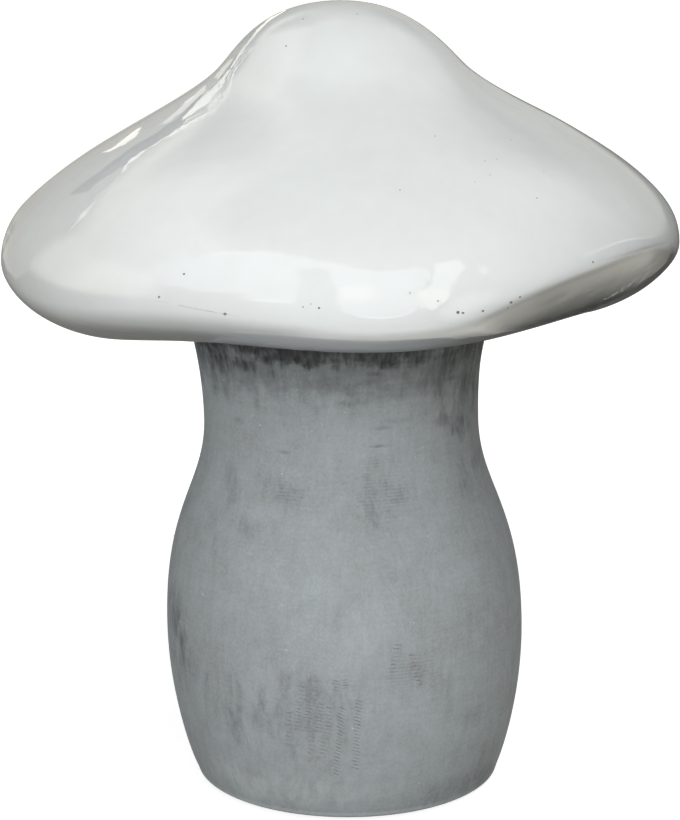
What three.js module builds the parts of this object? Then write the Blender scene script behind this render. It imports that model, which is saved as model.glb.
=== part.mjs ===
// Mushroom ornament: a hollow glazed cap that rests, loose, in the mouth of a hollow unglazed stem.
// Millimetres, +Z up, front towards -Y. The origin is on the ground, below the axis the cap turns on.

import * as THREE from 'three';

// Stem: heights are above its foot, radii are of the outside
const STEM_HEIGHT = 256.4;
const STEM_WALL = 9;
const FLOOR_THICKNESS = 10;
const DRAIN_RADIUS = 12;
const FOOT_RADIUS = 79.3;
const FOOT_ROUND = 3;
const FOOT_FLARE = 4.6;
const FOOT_RISE = 9;
const BELLY_RADIUS = 92.9;
const BELLY_HEIGHT = 78.5;
const BELLY_BELOW = 34;
const BELLY_ABOVE = 64.5;
const NECK_RADIUS = 70.1;
const NECK_HEIGHT = 189.5;
const NECK_BELOW = 38;
const NECK_ABOVE = 42;
const MOUTH_FLARE = 12.5;
const MOUTH_RISE = 7;
const MOUTH_ROUND = 2.5;
const SOCKET_DEPTH = 38;

// The stem leans: its foot stands to one side of the mouth's axis
const FOOT_SHIFT = 4.4;

// Cushion ring between the mouth and the cap
const RING_THICKNESS = 3;
const RING_INSET = 4;
const RING_CHAMFER = 0.6;
const SEAT_PLAY = 0.3;

// Cap: heights are above the flat seat on its underside
const CAP_HEIGHT = 140;
const CAP_WALL = 8;
const CROWN_REACH = 40;
const WAIST_RADIUS = 64;
const WAIST_HEIGHT = 105.4;
const WAIST_SLOPE = THREE.MathUtils.degToRad(40.6);
const WAIST_ABOVE = 15;
const WAIST_BELOW = 36;
const RIM_RADIUS = 170.4;
const RIM_HEIGHT = 18;
const RIM_ABOVE = 37.9;
const RIM_BELOW = 15.7;
const LIP_RADIUS = 123.3;
const LIP_DROP = 13.3;
const LIP_REACH = 9;
const DISH_REACH = 14;
const SEAT_MARGIN = 3;
const COLLAR_CLEARANCE = 1.5;
const COLLAR_WALL = 8;
const COLLAR_DEPTH = 28;
const COLLAR_CHAMFER = 2;

// The cap is shaped by hand: it tilts, its centre line wanders and its lip waves
const CAP_TILT = 0.025;
const RIM_SHIFT = 0.3;
const WAIST_SHIFT = 0.6;
const CROWN_SHIFT = -1.7;
const LIP_WAVES = [
  { lobes: 1, height: 2.3, crest: THREE.MathUtils.degToRad(204) },
  { lobes: 2, height: 5.1, crest: THREE.MathUtils.degToRad(107) },
  { lobes: 3, height: 1.8, crest: THREE.MathUtils.degToRad(100) },
  { lobes: 4, height: 2.5, crest: THREE.MathUtils.degToRad(60) },
];

// Two stretches of the rim hang low; azimuths are from the front, towards the right
const RIM_SAGS = [
  { depth: 10, azimuth: THREE.MathUtils.degToRad(8), spread: THREE.MathUtils.degToRad(22) },
  { depth: 6.5, azimuth: THREE.MathUtils.degToRad(-52), spread: THREE.MathUtils.degToRad(20) },
];
const SAG_ABOVE = 60;

// Under the right of the rim is a flat place, where the soft clay once rested on something
const FLAT_AZIMUTH = THREE.MathUtils.degToRad(46);
const FLAT_ELEVATION = THREE.MathUtils.degToRad(-44);
const FLAT_DEPTH = 6.5;
const FLAT_BLEND = 1.2;
const FLAT_WALL = 4.8;

// Rubber pads under the foot
const PAD_RADIUS = 12;
const PAD_THICKNESS = 2;
const PAD_CHAMFER = 0.4;
const PAD_INSET = 6;
const GLUE_FILM = 0.3;

// Facets
const STEM_SEGMENTS = 48;
const RING_SEGMENTS = 48;
const CAP_SEGMENTS = 60;
const PAD_SEGMENTS = 20;
const OUTSIDE_STEPS = 6;
const INSIDE_STEPS = 3;

// What fits together is worked out from the sizes above
const SOCKET_RADIUS = NECK_RADIUS - STEM_WALL;
const MOUTH_RADIUS = NECK_RADIUS + MOUTH_FLARE;
const COLLAR_RADIUS = SOCKET_RADIUS - COLLAR_CLEARANCE;
const COLLAR_BORE = COLLAR_RADIUS - COLLAR_WALL;
const SEAT_RADIUS = MOUTH_RADIUS + SEAT_MARGIN;
const FOOT_HEIGHT = PAD_THICKNESS + GLUE_FILM;
const RING_HEIGHT = FOOT_HEIGHT + STEM_HEIGHT + SEAT_PLAY;
const SEAT_HEIGHT = RING_HEIGHT + RING_THICKNESS + SEAT_PLAY;
const PAD_CIRCLE = FOOT_RADIUS - FOOT_ROUND - PAD_INSET - PAD_RADIUS;

const glaze = new THREE.MeshStandardMaterial({ color: 0xe3e5e4, roughness: 0.12, metalness: 0 });
const greyBody = new THREE.MeshStandardMaterial({ color: 0x9aa1a3, roughness: 0.9, metalness: 0 });
const blackRubber = new THREE.MeshStandardMaterial({ color: 0x1f1f20, roughness: 0.8, metalness: 0 });
const greyRubber = new THREE.MeshStandardMaterial({ color: 0x55565a, roughness: 0.7, metalness: 0 });

// Eases from 0 at one value to 1 at another, level at both ends.
function ease(value, from, to) {
  return THREE.MathUtils.smoothstep(value, from, to);
}

// Turns an outline of radius and height into a solid about the upright axis.
function turned(outline, segments) {
  return new THREE.LatheGeometry(outline, segments).rotateX(Math.PI / 2);
}

// Moves every point of a solid by a rule, as clay is pushed out of true by hand.
function pushed(geometry, rule) {
  const position = geometry.getAttribute('position');
  const point = new THREE.Vector3();
  for (let i = 0; i < position.count; i += 1) {
    rule(point.fromBufferAttribute(position, i), i);
    position.setXYZ(i, point.x, point.y, point.z);
  }
  geometry.computeVertexNormals();
  return geometry;
}

// The outside of the stem runs from the flat foot over the belly and the neck to the mouth.
function stemOutside() {
  const path = new THREE.Path();
  path.moveTo(DRAIN_RADIUS, 0);
  path.lineTo(FOOT_RADIUS - FOOT_ROUND, 0);
  path.quadraticCurveTo(FOOT_RADIUS, 0, FOOT_RADIUS, FOOT_ROUND);
  path.bezierCurveTo(
    FOOT_RADIUS + FOOT_FLARE, FOOT_ROUND + FOOT_RISE,
    BELLY_RADIUS, BELLY_HEIGHT - BELLY_BELOW,
    BELLY_RADIUS, BELLY_HEIGHT,
  );
  path.bezierCurveTo(
    BELLY_RADIUS, BELLY_HEIGHT + BELLY_ABOVE,
    NECK_RADIUS, NECK_HEIGHT - NECK_BELOW,
    NECK_RADIUS, NECK_HEIGHT,
  );
  path.bezierCurveTo(
    NECK_RADIUS, NECK_HEIGHT + NECK_ABOVE,
    MOUTH_RADIUS - MOUTH_ROUND, STEM_HEIGHT - MOUTH_ROUND - MOUTH_RISE,
    MOUTH_RADIUS, STEM_HEIGHT - MOUTH_ROUND,
  );
  path.quadraticCurveTo(MOUTH_RADIUS, STEM_HEIGHT, MOUTH_RADIUS - MOUTH_ROUND, STEM_HEIGHT);
  return path.getPoints(OUTSIDE_STEPS);
}

// The inside of the stem runs from the mouth down the straight socket to the floor and its drain hole.
function stemInside() {
  const path = new THREE.Path();
  path.moveTo(SOCKET_RADIUS + MOUTH_ROUND, STEM_HEIGHT);
  path.lineTo(SOCKET_RADIUS, STEM_HEIGHT - MOUTH_ROUND);
  path.lineTo(SOCKET_RADIUS, STEM_HEIGHT - SOCKET_DEPTH);
  path.lineTo(SOCKET_RADIUS, NECK_HEIGHT);
  path.bezierCurveTo(
    SOCKET_RADIUS, NECK_HEIGHT - NECK_BELOW,
    BELLY_RADIUS - STEM_WALL, BELLY_HEIGHT + BELLY_ABOVE,
    BELLY_RADIUS - STEM_WALL, BELLY_HEIGHT,
  );
  path.quadraticCurveTo(
    BELLY_RADIUS - STEM_WALL, BELLY_HEIGHT - BELLY_BELOW,
    FOOT_RADIUS - STEM_WALL, FLOOR_THICKNESS + FOOT_ROUND,
  );
  path.lineTo(FOOT_RADIUS - STEM_WALL - FOOT_ROUND, FLOOR_THICKNESS);
  path.lineTo(DRAIN_RADIUS, FLOOR_THICKNESS);
  path.lineTo(DRAIN_RADIUS, 0);
  return path.getPoints(INSIDE_STEPS);
}

// Below the socket the stem's centre line drifts away from the mouth's axis, towards the foot.
function leanStem(point) {
  const straightFrom = STEM_HEIGHT - SOCKET_DEPTH;
  point.x += FOOT_SHIFT * Math.max(0, 1 - point.z / straightFrom);
}

function makeStem() {
  const outline = [...stemOutside(), ...stemInside()];
  const stem = new THREE.Mesh(pushed(turned(outline, STEM_SEGMENTS), leanStem), greyBody);
  stem.name = 'stem';
  stem.position.z = FOOT_HEIGHT;
  return stem;
}

function makeCushionRing() {
  const inner = SOCKET_RADIUS + RING_INSET;
  const outer = MOUTH_RADIUS - RING_INSET;
  const outline = [
    new THREE.Vector2(inner + RING_CHAMFER, 0),
    new THREE.Vector2(outer - RING_CHAMFER, 0),
    new THREE.Vector2(outer, RING_CHAMFER),
    new THREE.Vector2(outer, RING_THICKNESS - RING_CHAMFER),
    new THREE.Vector2(outer - RING_CHAMFER, RING_THICKNESS),
    new THREE.Vector2(inner + RING_CHAMFER, RING_THICKNESS),
    new THREE.Vector2(inner, RING_THICKNESS - RING_CHAMFER),
    new THREE.Vector2(inner, RING_CHAMFER),
    new THREE.Vector2(inner + RING_CHAMFER, 0),
  ];
  const ring = new THREE.Mesh(turned(outline, RING_SEGMENTS), blackRubber);
  ring.name = 'cushion_ring';
  ring.position.z = RING_HEIGHT;
  return ring;
}

// The outside of the cap, from the collar over the seat, the dished underside, the lip and the rim to the crown.
function capOutside() {
  const slopeR = Math.cos(WAIST_SLOPE);
  const slopeZ = Math.sin(WAIST_SLOPE);
  const path = new THREE.Path();
  path.moveTo(COLLAR_BORE, -COLLAR_DEPTH);
  path.lineTo(COLLAR_RADIUS - COLLAR_CHAMFER, -COLLAR_DEPTH);
  path.lineTo(COLLAR_RADIUS, COLLAR_CHAMFER - COLLAR_DEPTH);
  path.lineTo(COLLAR_RADIUS, 0);
  path.lineTo(SEAT_RADIUS, 0);
  path.bezierCurveTo(
    SEAT_RADIUS + DISH_REACH, 0,
    LIP_RADIUS - DISH_REACH, -LIP_DROP,
    LIP_RADIUS, -LIP_DROP,
  );
  path.bezierCurveTo(
    LIP_RADIUS + LIP_REACH, -LIP_DROP,
    RIM_RADIUS, RIM_HEIGHT - RIM_BELOW,
    RIM_RADIUS, RIM_HEIGHT,
  );
  path.bezierCurveTo(
    RIM_RADIUS, RIM_HEIGHT + RIM_ABOVE,
    WAIST_RADIUS + WAIST_BELOW * slopeR, WAIST_HEIGHT - WAIST_BELOW * slopeZ,
    WAIST_RADIUS, WAIST_HEIGHT,
  );
  path.bezierCurveTo(
    WAIST_RADIUS - WAIST_ABOVE * slopeR, WAIST_HEIGHT + WAIST_ABOVE * slopeZ,
    CROWN_REACH, CAP_HEIGHT,
    0, CAP_HEIGHT,
  );
  return path.getPoints(OUTSIDE_STEPS);
}

// The inside of the cap keeps one wall behind the outside, from the crown down to the collar's bore.
function capInside() {
  const slopeR = Math.cos(WAIST_SLOPE);
  const slopeZ = Math.sin(WAIST_SLOPE);
  const waistR = WAIST_RADIUS - CAP_WALL * slopeZ;
  const waistZ = WAIST_HEIGHT - CAP_WALL * slopeR;
  const rimR = RIM_RADIUS - CAP_WALL;
  const lipZ = CAP_WALL - LIP_DROP;
  const path = new THREE.Path();
  path.moveTo(0, CAP_HEIGHT - CAP_WALL);
  path.bezierCurveTo(
    CROWN_REACH, CAP_HEIGHT - CAP_WALL,
    waistR - WAIST_ABOVE * slopeR, waistZ + WAIST_ABOVE * slopeZ,
    waistR, waistZ,
  );
  path.bezierCurveTo(
    waistR + WAIST_BELOW * slopeR, waistZ - WAIST_BELOW * slopeZ,
    rimR, RIM_HEIGHT + RIM_ABOVE,
    rimR, RIM_HEIGHT,
  );
  path.quadraticCurveTo(rimR, lipZ, LIP_RADIUS, lipZ);
  path.bezierCurveTo(
    LIP_RADIUS - DISH_REACH, lipZ,
    SEAT_RADIUS + DISH_REACH, CAP_WALL,
    SEAT_RADIUS, CAP_WALL,
  );
  path.lineTo(COLLAR_BORE, CAP_WALL);
  path.lineTo(COLLAR_BORE, -COLLAR_DEPTH);
  return path.getPoints(INSIDE_STEPS);
}

// The height of the waving lip at an angle round the cap.
function lipWave(angle) {
  let height = 0;
  for (const wave of LIP_WAVES) {
    height += wave.height * Math.cos(wave.lobes * (angle - wave.crest));
  }
  return height;
}

// How deep the rim hangs at an azimuth.
function rimSag(azimuth) {
  let depth = 0;
  for (const sag of RIM_SAGS) {
    depth += sag.depth * Math.exp(-(((azimuth - sag.azimuth) / sag.spread) ** 2));
  }
  return depth;
}

// How much of the sag reaches a height: all of it at the rim, none at the lip and none far up the slope.
function sagShare(height) {
  if (height > RIM_HEIGHT) {
    return 1 - ease(height, RIM_HEIGHT, RIM_HEIGHT + SAG_ABOVE);
  }
  return THREE.MathUtils.clamp((height + LIP_DROP) / (RIM_HEIGHT + LIP_DROP), 0, 1);
}

// The seat and the collar stay true, and the rest of the cap tilts, wanders, waves and sags.
function shapeCap(point) {
  const radius = Math.hypot(point.x, point.y);
  const angle = Math.atan2(point.y, point.x);
  const overRim = ease(point.z, RIM_HEIGHT, WAIST_HEIGHT);
  const overWaist = ease(point.z, WAIST_HEIGHT, CAP_HEIGHT);
  const underRim = 1 - ease(point.z, -LIP_DROP, RIM_HEIGHT);
  const free = point.z > RIM_HEIGHT ? 1 : ease(radius, SEAT_RADIUS, LIP_RADIUS);
  const sag = rimSag(Math.atan2(point.x, -point.y)) * sagShare(point.z);
  const rise = CAP_TILT * point.x + underRim * lipWave(angle) - sag;
  const shift = RIM_SHIFT + (WAIST_SHIFT - RIM_SHIFT) * overRim + (CROWN_SHIFT - WAIST_SHIFT) * overWaist;
  point.z += free * rise;
  point.x += free * shift;
}

// Presses the outside of the cap flat under the rim, and the inside with it, one thinner wall behind.
function pressFlat(geometry, outsideCount, outlineCount) {
  const across = Math.cos(FLAT_ELEVATION);
  const out = new THREE.Vector3(
    Math.sin(FLAT_AZIMUTH) * across,
    -Math.cos(FLAT_AZIMUTH) * across,
    Math.sin(FLAT_ELEVATION),
  );
  let reach = -Infinity;
  pushed(geometry, (point) => {
    reach = Math.max(reach, point.dot(out));
  });
  return pushed(geometry, (point, i) => {
    const behind = i % outlineCount < outsideCount ? 0 : FLAT_WALL;
    const past = point.dot(out) - (reach - FLAT_DEPTH - behind);
    const moved = past + FLAT_BLEND * Math.log1p(Math.exp(-past / FLAT_BLEND));
    point.addScaledVector(out, -moved);
  });
}

function makeCap() {
  const outside = capOutside();
  const outline = [...outside, ...capInside()];
  const bent = pushed(turned(outline, CAP_SEGMENTS), shapeCap);
  const cap = new THREE.Mesh(pressFlat(bent, outside.length, outline.length), glaze);
  cap.name = 'cap';
  cap.position.z = SEAT_HEIGHT;
  return cap;
}

// Four pads stand on a circle under the leaning foot.
function makeFootPads() {
  const outline = [
    new THREE.Vector2(0, 0),
    new THREE.Vector2(PAD_RADIUS - PAD_CHAMFER, 0),
    new THREE.Vector2(PAD_RADIUS, PAD_CHAMFER),
    new THREE.Vector2(PAD_RADIUS, PAD_THICKNESS),
    new THREE.Vector2(0, PAD_THICKNESS),
  ];
  const places = ['back_right', 'back_left', 'front_left', 'front_right'];
  const pads = new THREE.Group();
  pads.position.x = FOOT_SHIFT;
  places.forEach((place, i) => {
    const angle = (i + 0.5) * (2 * Math.PI / places.length);
    const pad = new THREE.Mesh(turned(outline, PAD_SEGMENTS), greyRubber);
    pad.name = `foot_pad_${place}`;
    pad.position.set(PAD_CIRCLE * Math.cos(angle), PAD_CIRCLE * Math.sin(angle), 0);
    pads.add(pad);
  });
  return pads;
}

const mushroom = new THREE.Group();
mushroom.add(makeStem(), makeCushionRing(), makeCap(), makeFootPads());

export default mushroom;
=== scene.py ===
"""Looks of a mushroom ornament: a glossy white glazed cap, loose on a bellied stem of bare grey clay.

Lengths are metres in the part's own frame: +Z is up and the front looks towards -Y.
"""
import logging
import math
from dataclasses import dataclass, field
from enum import Enum
from typing import ClassVar, Mapping, Sequence

import bpy
import numpy as np
from mathutils import Matrix, Vector, noise
from mathutils.bvhtree import BVHTree
from mathutils.geometry import delaunay_2d_cdt
from mathutils.interpolate import poly_3d_calc


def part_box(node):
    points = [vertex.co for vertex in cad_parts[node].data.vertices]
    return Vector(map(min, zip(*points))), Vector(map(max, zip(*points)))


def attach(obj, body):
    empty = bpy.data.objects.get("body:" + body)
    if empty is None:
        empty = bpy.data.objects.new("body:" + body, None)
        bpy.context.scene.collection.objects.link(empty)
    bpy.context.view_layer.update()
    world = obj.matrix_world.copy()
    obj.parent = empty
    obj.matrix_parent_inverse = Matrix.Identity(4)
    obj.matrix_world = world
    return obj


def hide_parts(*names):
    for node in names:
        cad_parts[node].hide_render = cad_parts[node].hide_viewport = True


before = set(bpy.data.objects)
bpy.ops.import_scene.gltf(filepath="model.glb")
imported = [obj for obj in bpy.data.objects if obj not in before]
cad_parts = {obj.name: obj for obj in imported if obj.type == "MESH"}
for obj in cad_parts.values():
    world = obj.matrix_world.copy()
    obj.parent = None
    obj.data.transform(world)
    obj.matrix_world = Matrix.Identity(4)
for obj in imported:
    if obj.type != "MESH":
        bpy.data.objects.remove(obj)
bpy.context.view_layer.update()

LOG = logging.getLogger("mushroom")
MM = 0.001
ON_AXIS = 1e-7
PIXEL = 0.48 * MM
FLOOR_GAP = 3 * MM
IN_FRONT = 2.1
BESIDE = 0.165

Colour = tuple[float, float, float]
Pixel = tuple[float, float]
Shape = tuple[float, float, float]
Inputs = Mapping[str | int, object]
Socket = bpy.types.NodeSocket

VECTOR = "NodeSocketVector"
FLOAT = "NodeSocketFloat"
WHOLE = "NodeSocketInt"
FINISH = "NodeSocketMaterial"

WHITE: Colour = (1.0, 1.0, 1.0)
BLACK: Colour = (0.0, 0.0, 0.0)
CREAM: Colour = (1.0, 0.97, 0.87)
SKY_BLUE: Colour = (0.93, 0.975, 1.0)


class Body(Enum):
    """The bodies of the frame that pieces ride on."""

    STEM = "stem"
    RING = "cushion_ring"
    CAP = "cap"


class Slot(Enum):
    """The record's material slots."""

    GLAZE = "white_glaze"
    STONEWARE = "grey_stoneware"
    BLACK_RUBBER = "black_rubber"
    GREY_RUBBER = "grey_rubber"


def ease(value: np.ndarray, start: float, end: float) -> np.ndarray:
    """Rises from 0 where a value is at start to 1 where it is at end, level at both."""
    share = np.clip((value - start) / (end - start), 0.0, 1.0)
    return share * share * (3.0 - 2.0 * share)


def opaque(colour: Colour) -> tuple[float, float, float, float]:
    """Gives a colour its full alpha."""
    return (*colour, 1.0)


def direction(azimuth: float, elevation: float) -> Shape:
    """Works out the way to an azimuth, in degrees from the front to the right, and an elevation."""
    turn, lift = math.radians(azimuth), math.radians(elevation)
    return math.sin(turn) * math.cos(lift), -math.cos(turn) * math.cos(lift), math.sin(lift)


def note(mesh: bpy.types.Mesh, name: str, values: Sequence[float]) -> None:
    """Notes a number at each point of a mesh."""
    mesh.attributes.new(name, "FLOAT", "POINT").data.foreach_set("value", values)


class Bench:
    """Lays out and joins the nodes of one tree."""

    COLOURS_IN = (6, 7)
    COLOUR_OUT = 2

    def __init__(self, tree: bpy.types.NodeTree) -> None:
        """Starts work on a tree."""
        self.tree = tree

    def node(self, kind: str, inputs: Inputs | None = None, **settings: object) -> bpy.types.Node:
        """Adds a node.

        Args:
            kind: The node's type.
            inputs: For an input's name or place, its value or the socket that is joined to it.
            settings: Properties of the node itself.

        Returns:
            The new node.
        """
        made = self.tree.nodes.new(kind)
        for name, value in settings.items():
            setattr(made, name, value)
        self.feed(made, inputs or {})
        return made

    def feed(self, made: bpy.types.Node, inputs: Inputs) -> None:
        """Gives inputs of a node their values, or joins sockets to them.

        Args:
            made: The node.
            inputs: For an input's name or place, its value or the socket that is joined to it.
        """
        for socket, value in inputs.items():
            if isinstance(value, Socket):
                self.tree.links.new(value, made.inputs[socket])
            else:
                made.inputs[socket].default_value = value

    def math(self, operation: str, first: object, second: object = 0.0) -> Socket:
        """Works out one sum of numbers or sockets."""
        return self.node("ShaderNodeMath", {0: first, 1: second}, operation=operation).outputs[0]

    def vector(self, operation: str, first: object, second: object) -> Socket:
        """Works out one sum of vectors or sockets."""
        return self.node("ShaderNodeVectorMath", {0: first, 1: second}, operation=operation).outputs[0]

    def noted(self, name: str) -> Socket:
        """Reads the number that a mesh notes under a name."""
        return self.node("ShaderNodeAttribute", attribute_name=name).outputs["Fac"]

    def squeezed(self, spot: Socket, times: float) -> Socket:
        """Squeezes a pattern upright so many times, or stretches it where that is below 1."""
        return self.vector("MULTIPLY", spot, (1.0, 1.0, times))

    def ramp(self, value: object, start: float, end: float, low: object = 0.0,
             high: object = 1.0) -> Socket:
        """Eases a value from low, where it is at start, to high, where it is at end."""
        inputs = {"Value": value, "From Min": start, "From Max": end, "To Min": low, "To Max": high}
        return self.node("ShaderNodeMapRange", inputs, interpolation_type="SMOOTHSTEP").outputs[0]

    def mix(self, share: object, first: object, second: object) -> Socket:
        """Mixes two colours.

        Args:
            share: How much of the second colour shows.
            first: The first colour or socket.
            second: The second colour or socket.

        Returns:
            The socket with the mixed colour.
        """
        colours = [opaque(c) if isinstance(c, tuple) and len(c) == 3 else c for c in (first, second)]
        inputs = {0: share, **dict(zip(self.COLOURS_IN, colours))}
        return self.node("ShaderNodeMix", inputs, data_type="RGBA").outputs[self.COLOUR_OUT]

    def blend(self, share: object, first: object, second: object) -> Socket:
        """Mixes two numbers or sockets; the share says how much of the second shows."""
        return self.node("ShaderNodeMix", {0: share, 2: first, 3: second}, data_type="FLOAT").outputs[0]

    def group(self, tree: bpy.types.NodeTree, inputs: Inputs) -> Socket:
        """Places a node group and gives its first output."""
        kind = f"{type(self.tree).__name__.removesuffix('Tree')}Group"
        return self.node(kind, inputs, node_tree=tree).outputs[0]


def blank(owner: bpy.types.Material | bpy.types.World) -> Bench:
    """Empties the tree of a material or a world, and starts work on it.

    Args:
        owner: The material or the world.

    Returns:
        The bench for its tree.
    """
    owner.use_nodes = True
    owner.node_tree.nodes.clear()
    return Bench(owner.node_tree)


@dataclass(frozen=True)
class Layer:
    """Soft patches that add or take away so much, squeezed upright so many times."""

    size: float
    swing: float
    squeeze: float = 1.0


@dataclass(frozen=True)
class Dots:
    """Specks so far apart and so large, with only a share of the places filled, and how much they cover."""

    spacing: float
    radius: float
    share: float
    strength: float


class Effects:
    """Surface effects that the finishes share, each a node group that is built once."""

    CLOUD_RANGE = (0.3, 0.7)
    CLOUD_DETAIL = 3.0
    SPECK_CORE = 0.5
    SMUDGE_END = 1.25

    def __init__(self) -> None:
        """Builds the groups."""
        self.clouds = self._clouds()
        self.specks = self._specks()
        self.smudge = self._smudge()

    def patches(self, bench: Bench, spot: Socket, size: float, low: float = 0.0,
                high: float = 1.0) -> Socket:
        """Lays soft uneven patches of a size, whose values run from low to high."""
        return bench.group(self.clouds, {"Vector": spot, "Size": size, "Low": low, "High": high})

    def layered(self, bench: Bench, spot: Socket, value: object, layers: Sequence[Layer]) -> Socket:
        """Adds layers of patches to a value.

        Args:
            bench: The material's bench.
            spot: The piece's own coordinates.
            value: The value or socket to start from.
            layers: The layers.

        Returns:
            The socket with the uneven value.
        """
        for layer in layers:
            where = spot if layer.squeeze == 1.0 else bench.squeezed(spot, layer.squeeze)
            patch = self.patches(bench, where, layer.size, -layer.swing, layer.swing)
            value = bench.math("ADD", value, patch)
        return value

    def dots(self, bench: Bench, spot: Socket, dots: Dots) -> Socket:
        """Lays small round specks."""
        inputs = {"Vector": spot, "Spacing": dots.spacing, "Radius": dots.radius, "Share": dots.share}
        return bench.math("MULTIPLY", bench.group(self.specks, inputs), dots.strength)

    @staticmethod
    def _start(name: str, inputs: Mapping[str, str], output: str) -> tuple[Bench, bpy.types.NodeInputs]:
        """Starts a group.

        Args:
            name: The group's name.
            inputs: The socket type of each named input.
            output: The name of its one value output.

        Returns:
            The group's bench and the sockets of its inputs.
        """
        tree = bpy.data.node_groups.new(name, "ShaderNodeTree")
        for label, kind in inputs.items():
            tree.interface.new_socket(label, in_out="INPUT", socket_type=kind)
        tree.interface.new_socket(output, in_out="OUTPUT", socket_type=FLOAT)
        bench = Bench(tree)
        return bench, bench.node("NodeGroupInput").outputs

    def _clouds(self) -> bpy.types.NodeTree:
        """Makes soft uneven patches of a given size, between a low and a high value.

        Returns:
            The group's tree.
        """
        kinds = {"Vector": VECTOR, "Size": FLOAT, "Low": FLOAT, "High": FLOAT}
        bench, given = self._start("clouds", kinds, "Value")
        scale = bench.math("DIVIDE", 1.0, given["Size"])
        cloud = bench.node("ShaderNodeTexNoise", {"Vector": given["Vector"], "Scale": scale,
                                                  "Detail": self.CLOUD_DETAIL})
        value = bench.ramp(cloud.outputs[0], *self.CLOUD_RANGE, given["Low"], given["High"])
        bench.node("NodeGroupOutput", {"Value": value})
        return bench.tree

    def _specks(self) -> bpy.types.NodeTree:
        """Makes small round specks, scattered so far apart, with only a share of the places filled.

        Returns:
            The group's tree.
        """
        kinds = {"Vector": VECTOR, "Spacing": FLOAT, "Radius": FLOAT, "Share": FLOAT}
        bench, given = self._start("specks", kinds, "Mask")
        scale = bench.math("DIVIDE", 1.0, given["Spacing"])
        cells = bench.node("ShaderNodeTexVoronoi", {"Vector": given["Vector"], "Scale": scale})
        away = bench.math("MULTIPLY", cells.outputs["Distance"], given["Spacing"])
        reach = bench.math("DIVIDE", away, given["Radius"])
        near = bench.ramp(reach, self.SPECK_CORE, 1.0, 1.0, 0.0)
        chance = bench.node("ShaderNodeSeparateColor", {0: cells.outputs["Color"]})
        filled = bench.math("LESS_THAN", chance.outputs[0], given["Share"])
        bench.node("NodeGroupOutput", {"Mask": bench.math("MULTIPLY", near, filled)})
        return bench.tree

    def _smudge(self) -> bpy.types.NodeTree:
        """Makes one soft brushed patch about a centre, with its own reach along each axis.

        Returns:
            The group's tree.
        """
        kinds = {"Vector": VECTOR, "Centre": VECTOR, "Reach": VECTOR,
                 "Rag": FLOAT, "Torn": FLOAT, "Brush": FLOAT}
        bench, given = self._start("smudge", kinds, "Mask")
        offset = bench.vector("SUBTRACT", given["Vector"], given["Centre"])
        share = bench.vector("DIVIDE", offset, given["Reach"])
        away = bench.node("ShaderNodeVectorMath", {0: share}, operation="LENGTH").outputs["Value"]
        rough = bench.math("MULTIPLY", given["Torn"], given["Rag"])
        soft = bench.ramp(bench.math("ADD", away, rough), 0.0, self.SMUDGE_END, 1.0, 0.0)
        bench.node("NodeGroupOutput", {"Mask": bench.math("MULTIPLY", soft, given["Brush"])})
        return bench.tree


class GrowTree:
    """A geometry node tree with named inputs, whose result becomes a plain mesh."""

    def __init__(self, name: str, kinds: Mapping[str, str]) -> None:
        """Starts the tree.

        Args:
            name: The tree's name.
            kinds: The socket type of each named input.
        """
        self.tree = bpy.data.node_groups.new(name, "GeometryNodeTree")
        self.sockets: dict[str, str] = {}
        for way in ("INPUT", "OUTPUT"):
            self.tree.interface.new_socket("Geometry", in_out=way, socket_type="NodeSocketGeometry")
        for label, kind in kinds.items():
            socket = self.tree.interface.new_socket(label, in_out="INPUT", socket_type=kind)
            self.sockets[label] = socket.identifier
        self.bench = Bench(self.tree)
        self.given = self.bench.node("NodeGroupInput").outputs

    def noted(self, name: str, kind: str) -> Socket:
        """Reads what the carrier notes at its points under a name, as a kind of data."""
        return self.bench.node("GeometryNodeInputNamedAttribute", {"Name": name}, data_type=kind).outputs[0]

    def chance(self) -> Socket:
        """Draws a chance size between the tree's least and most."""
        inputs = {0: self.given["Least"], 1: self.given["Most"], "Seed": self.given["Seed"]}
        return self.bench.node("FunctionNodeRandomValue", inputs, data_type="FLOAT_VECTOR").outputs[0]

    def close(self, result: Socket) -> None:
        """Ends the tree in plain geometry with its material.

        Args:
            result: The socket with the instances or the mesh.
        """
        plain = self.bench.node("GeometryNodeRealizeInstances", {"Geometry": result})
        dressed = self.bench.node(
            "GeometryNodeSetMaterial", {"Geometry": plain.outputs[0], "Material": self.given["Material"]}
        )
        self.bench.node("NodeGroupOutput", {"Geometry": dressed.outputs[0]})

    def grow(self, carrier: bpy.types.Object, name: str, values: Mapping[str, object]) -> bpy.types.Object:
        """Runs the tree on a carrier.

        Args:
            carrier: The object that the tree starts from, which stays as it is.
            name: The new piece's name.
            values: The value of each named input.

        Returns:
            The new piece, at the origin.
        """
        modifier = carrier.modifiers.new(self.tree.name, "NODES")
        modifier.node_group = self.tree
        for label, value in values.items():
            modifier[self.sockets[label]] = value
        graph = bpy.context.evaluated_depsgraph_get()
        mesh = bpy.data.meshes.new_from_object(carrier.evaluated_get(graph), depsgraph=graph)
        carrier.modifiers.remove(modifier)
        mesh.name = name
        mesh.shade_smooth()
        return place(bpy.data.objects.new(name, mesh))

    def lay(self, marks: bpy.types.Object, name: str, values: Mapping[str, object]) -> bpy.types.Object:
        """Runs the tree on a carrier of marks, and takes the carrier away.

        Args:
            marks: The carrier.
            name: The new piece's name.
            values: The value of each named input.

        Returns:
            The new piece, at the origin.
        """
        made = self.grow(marks, name, values)
        bpy.data.objects.remove(marks)
        return made


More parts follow.
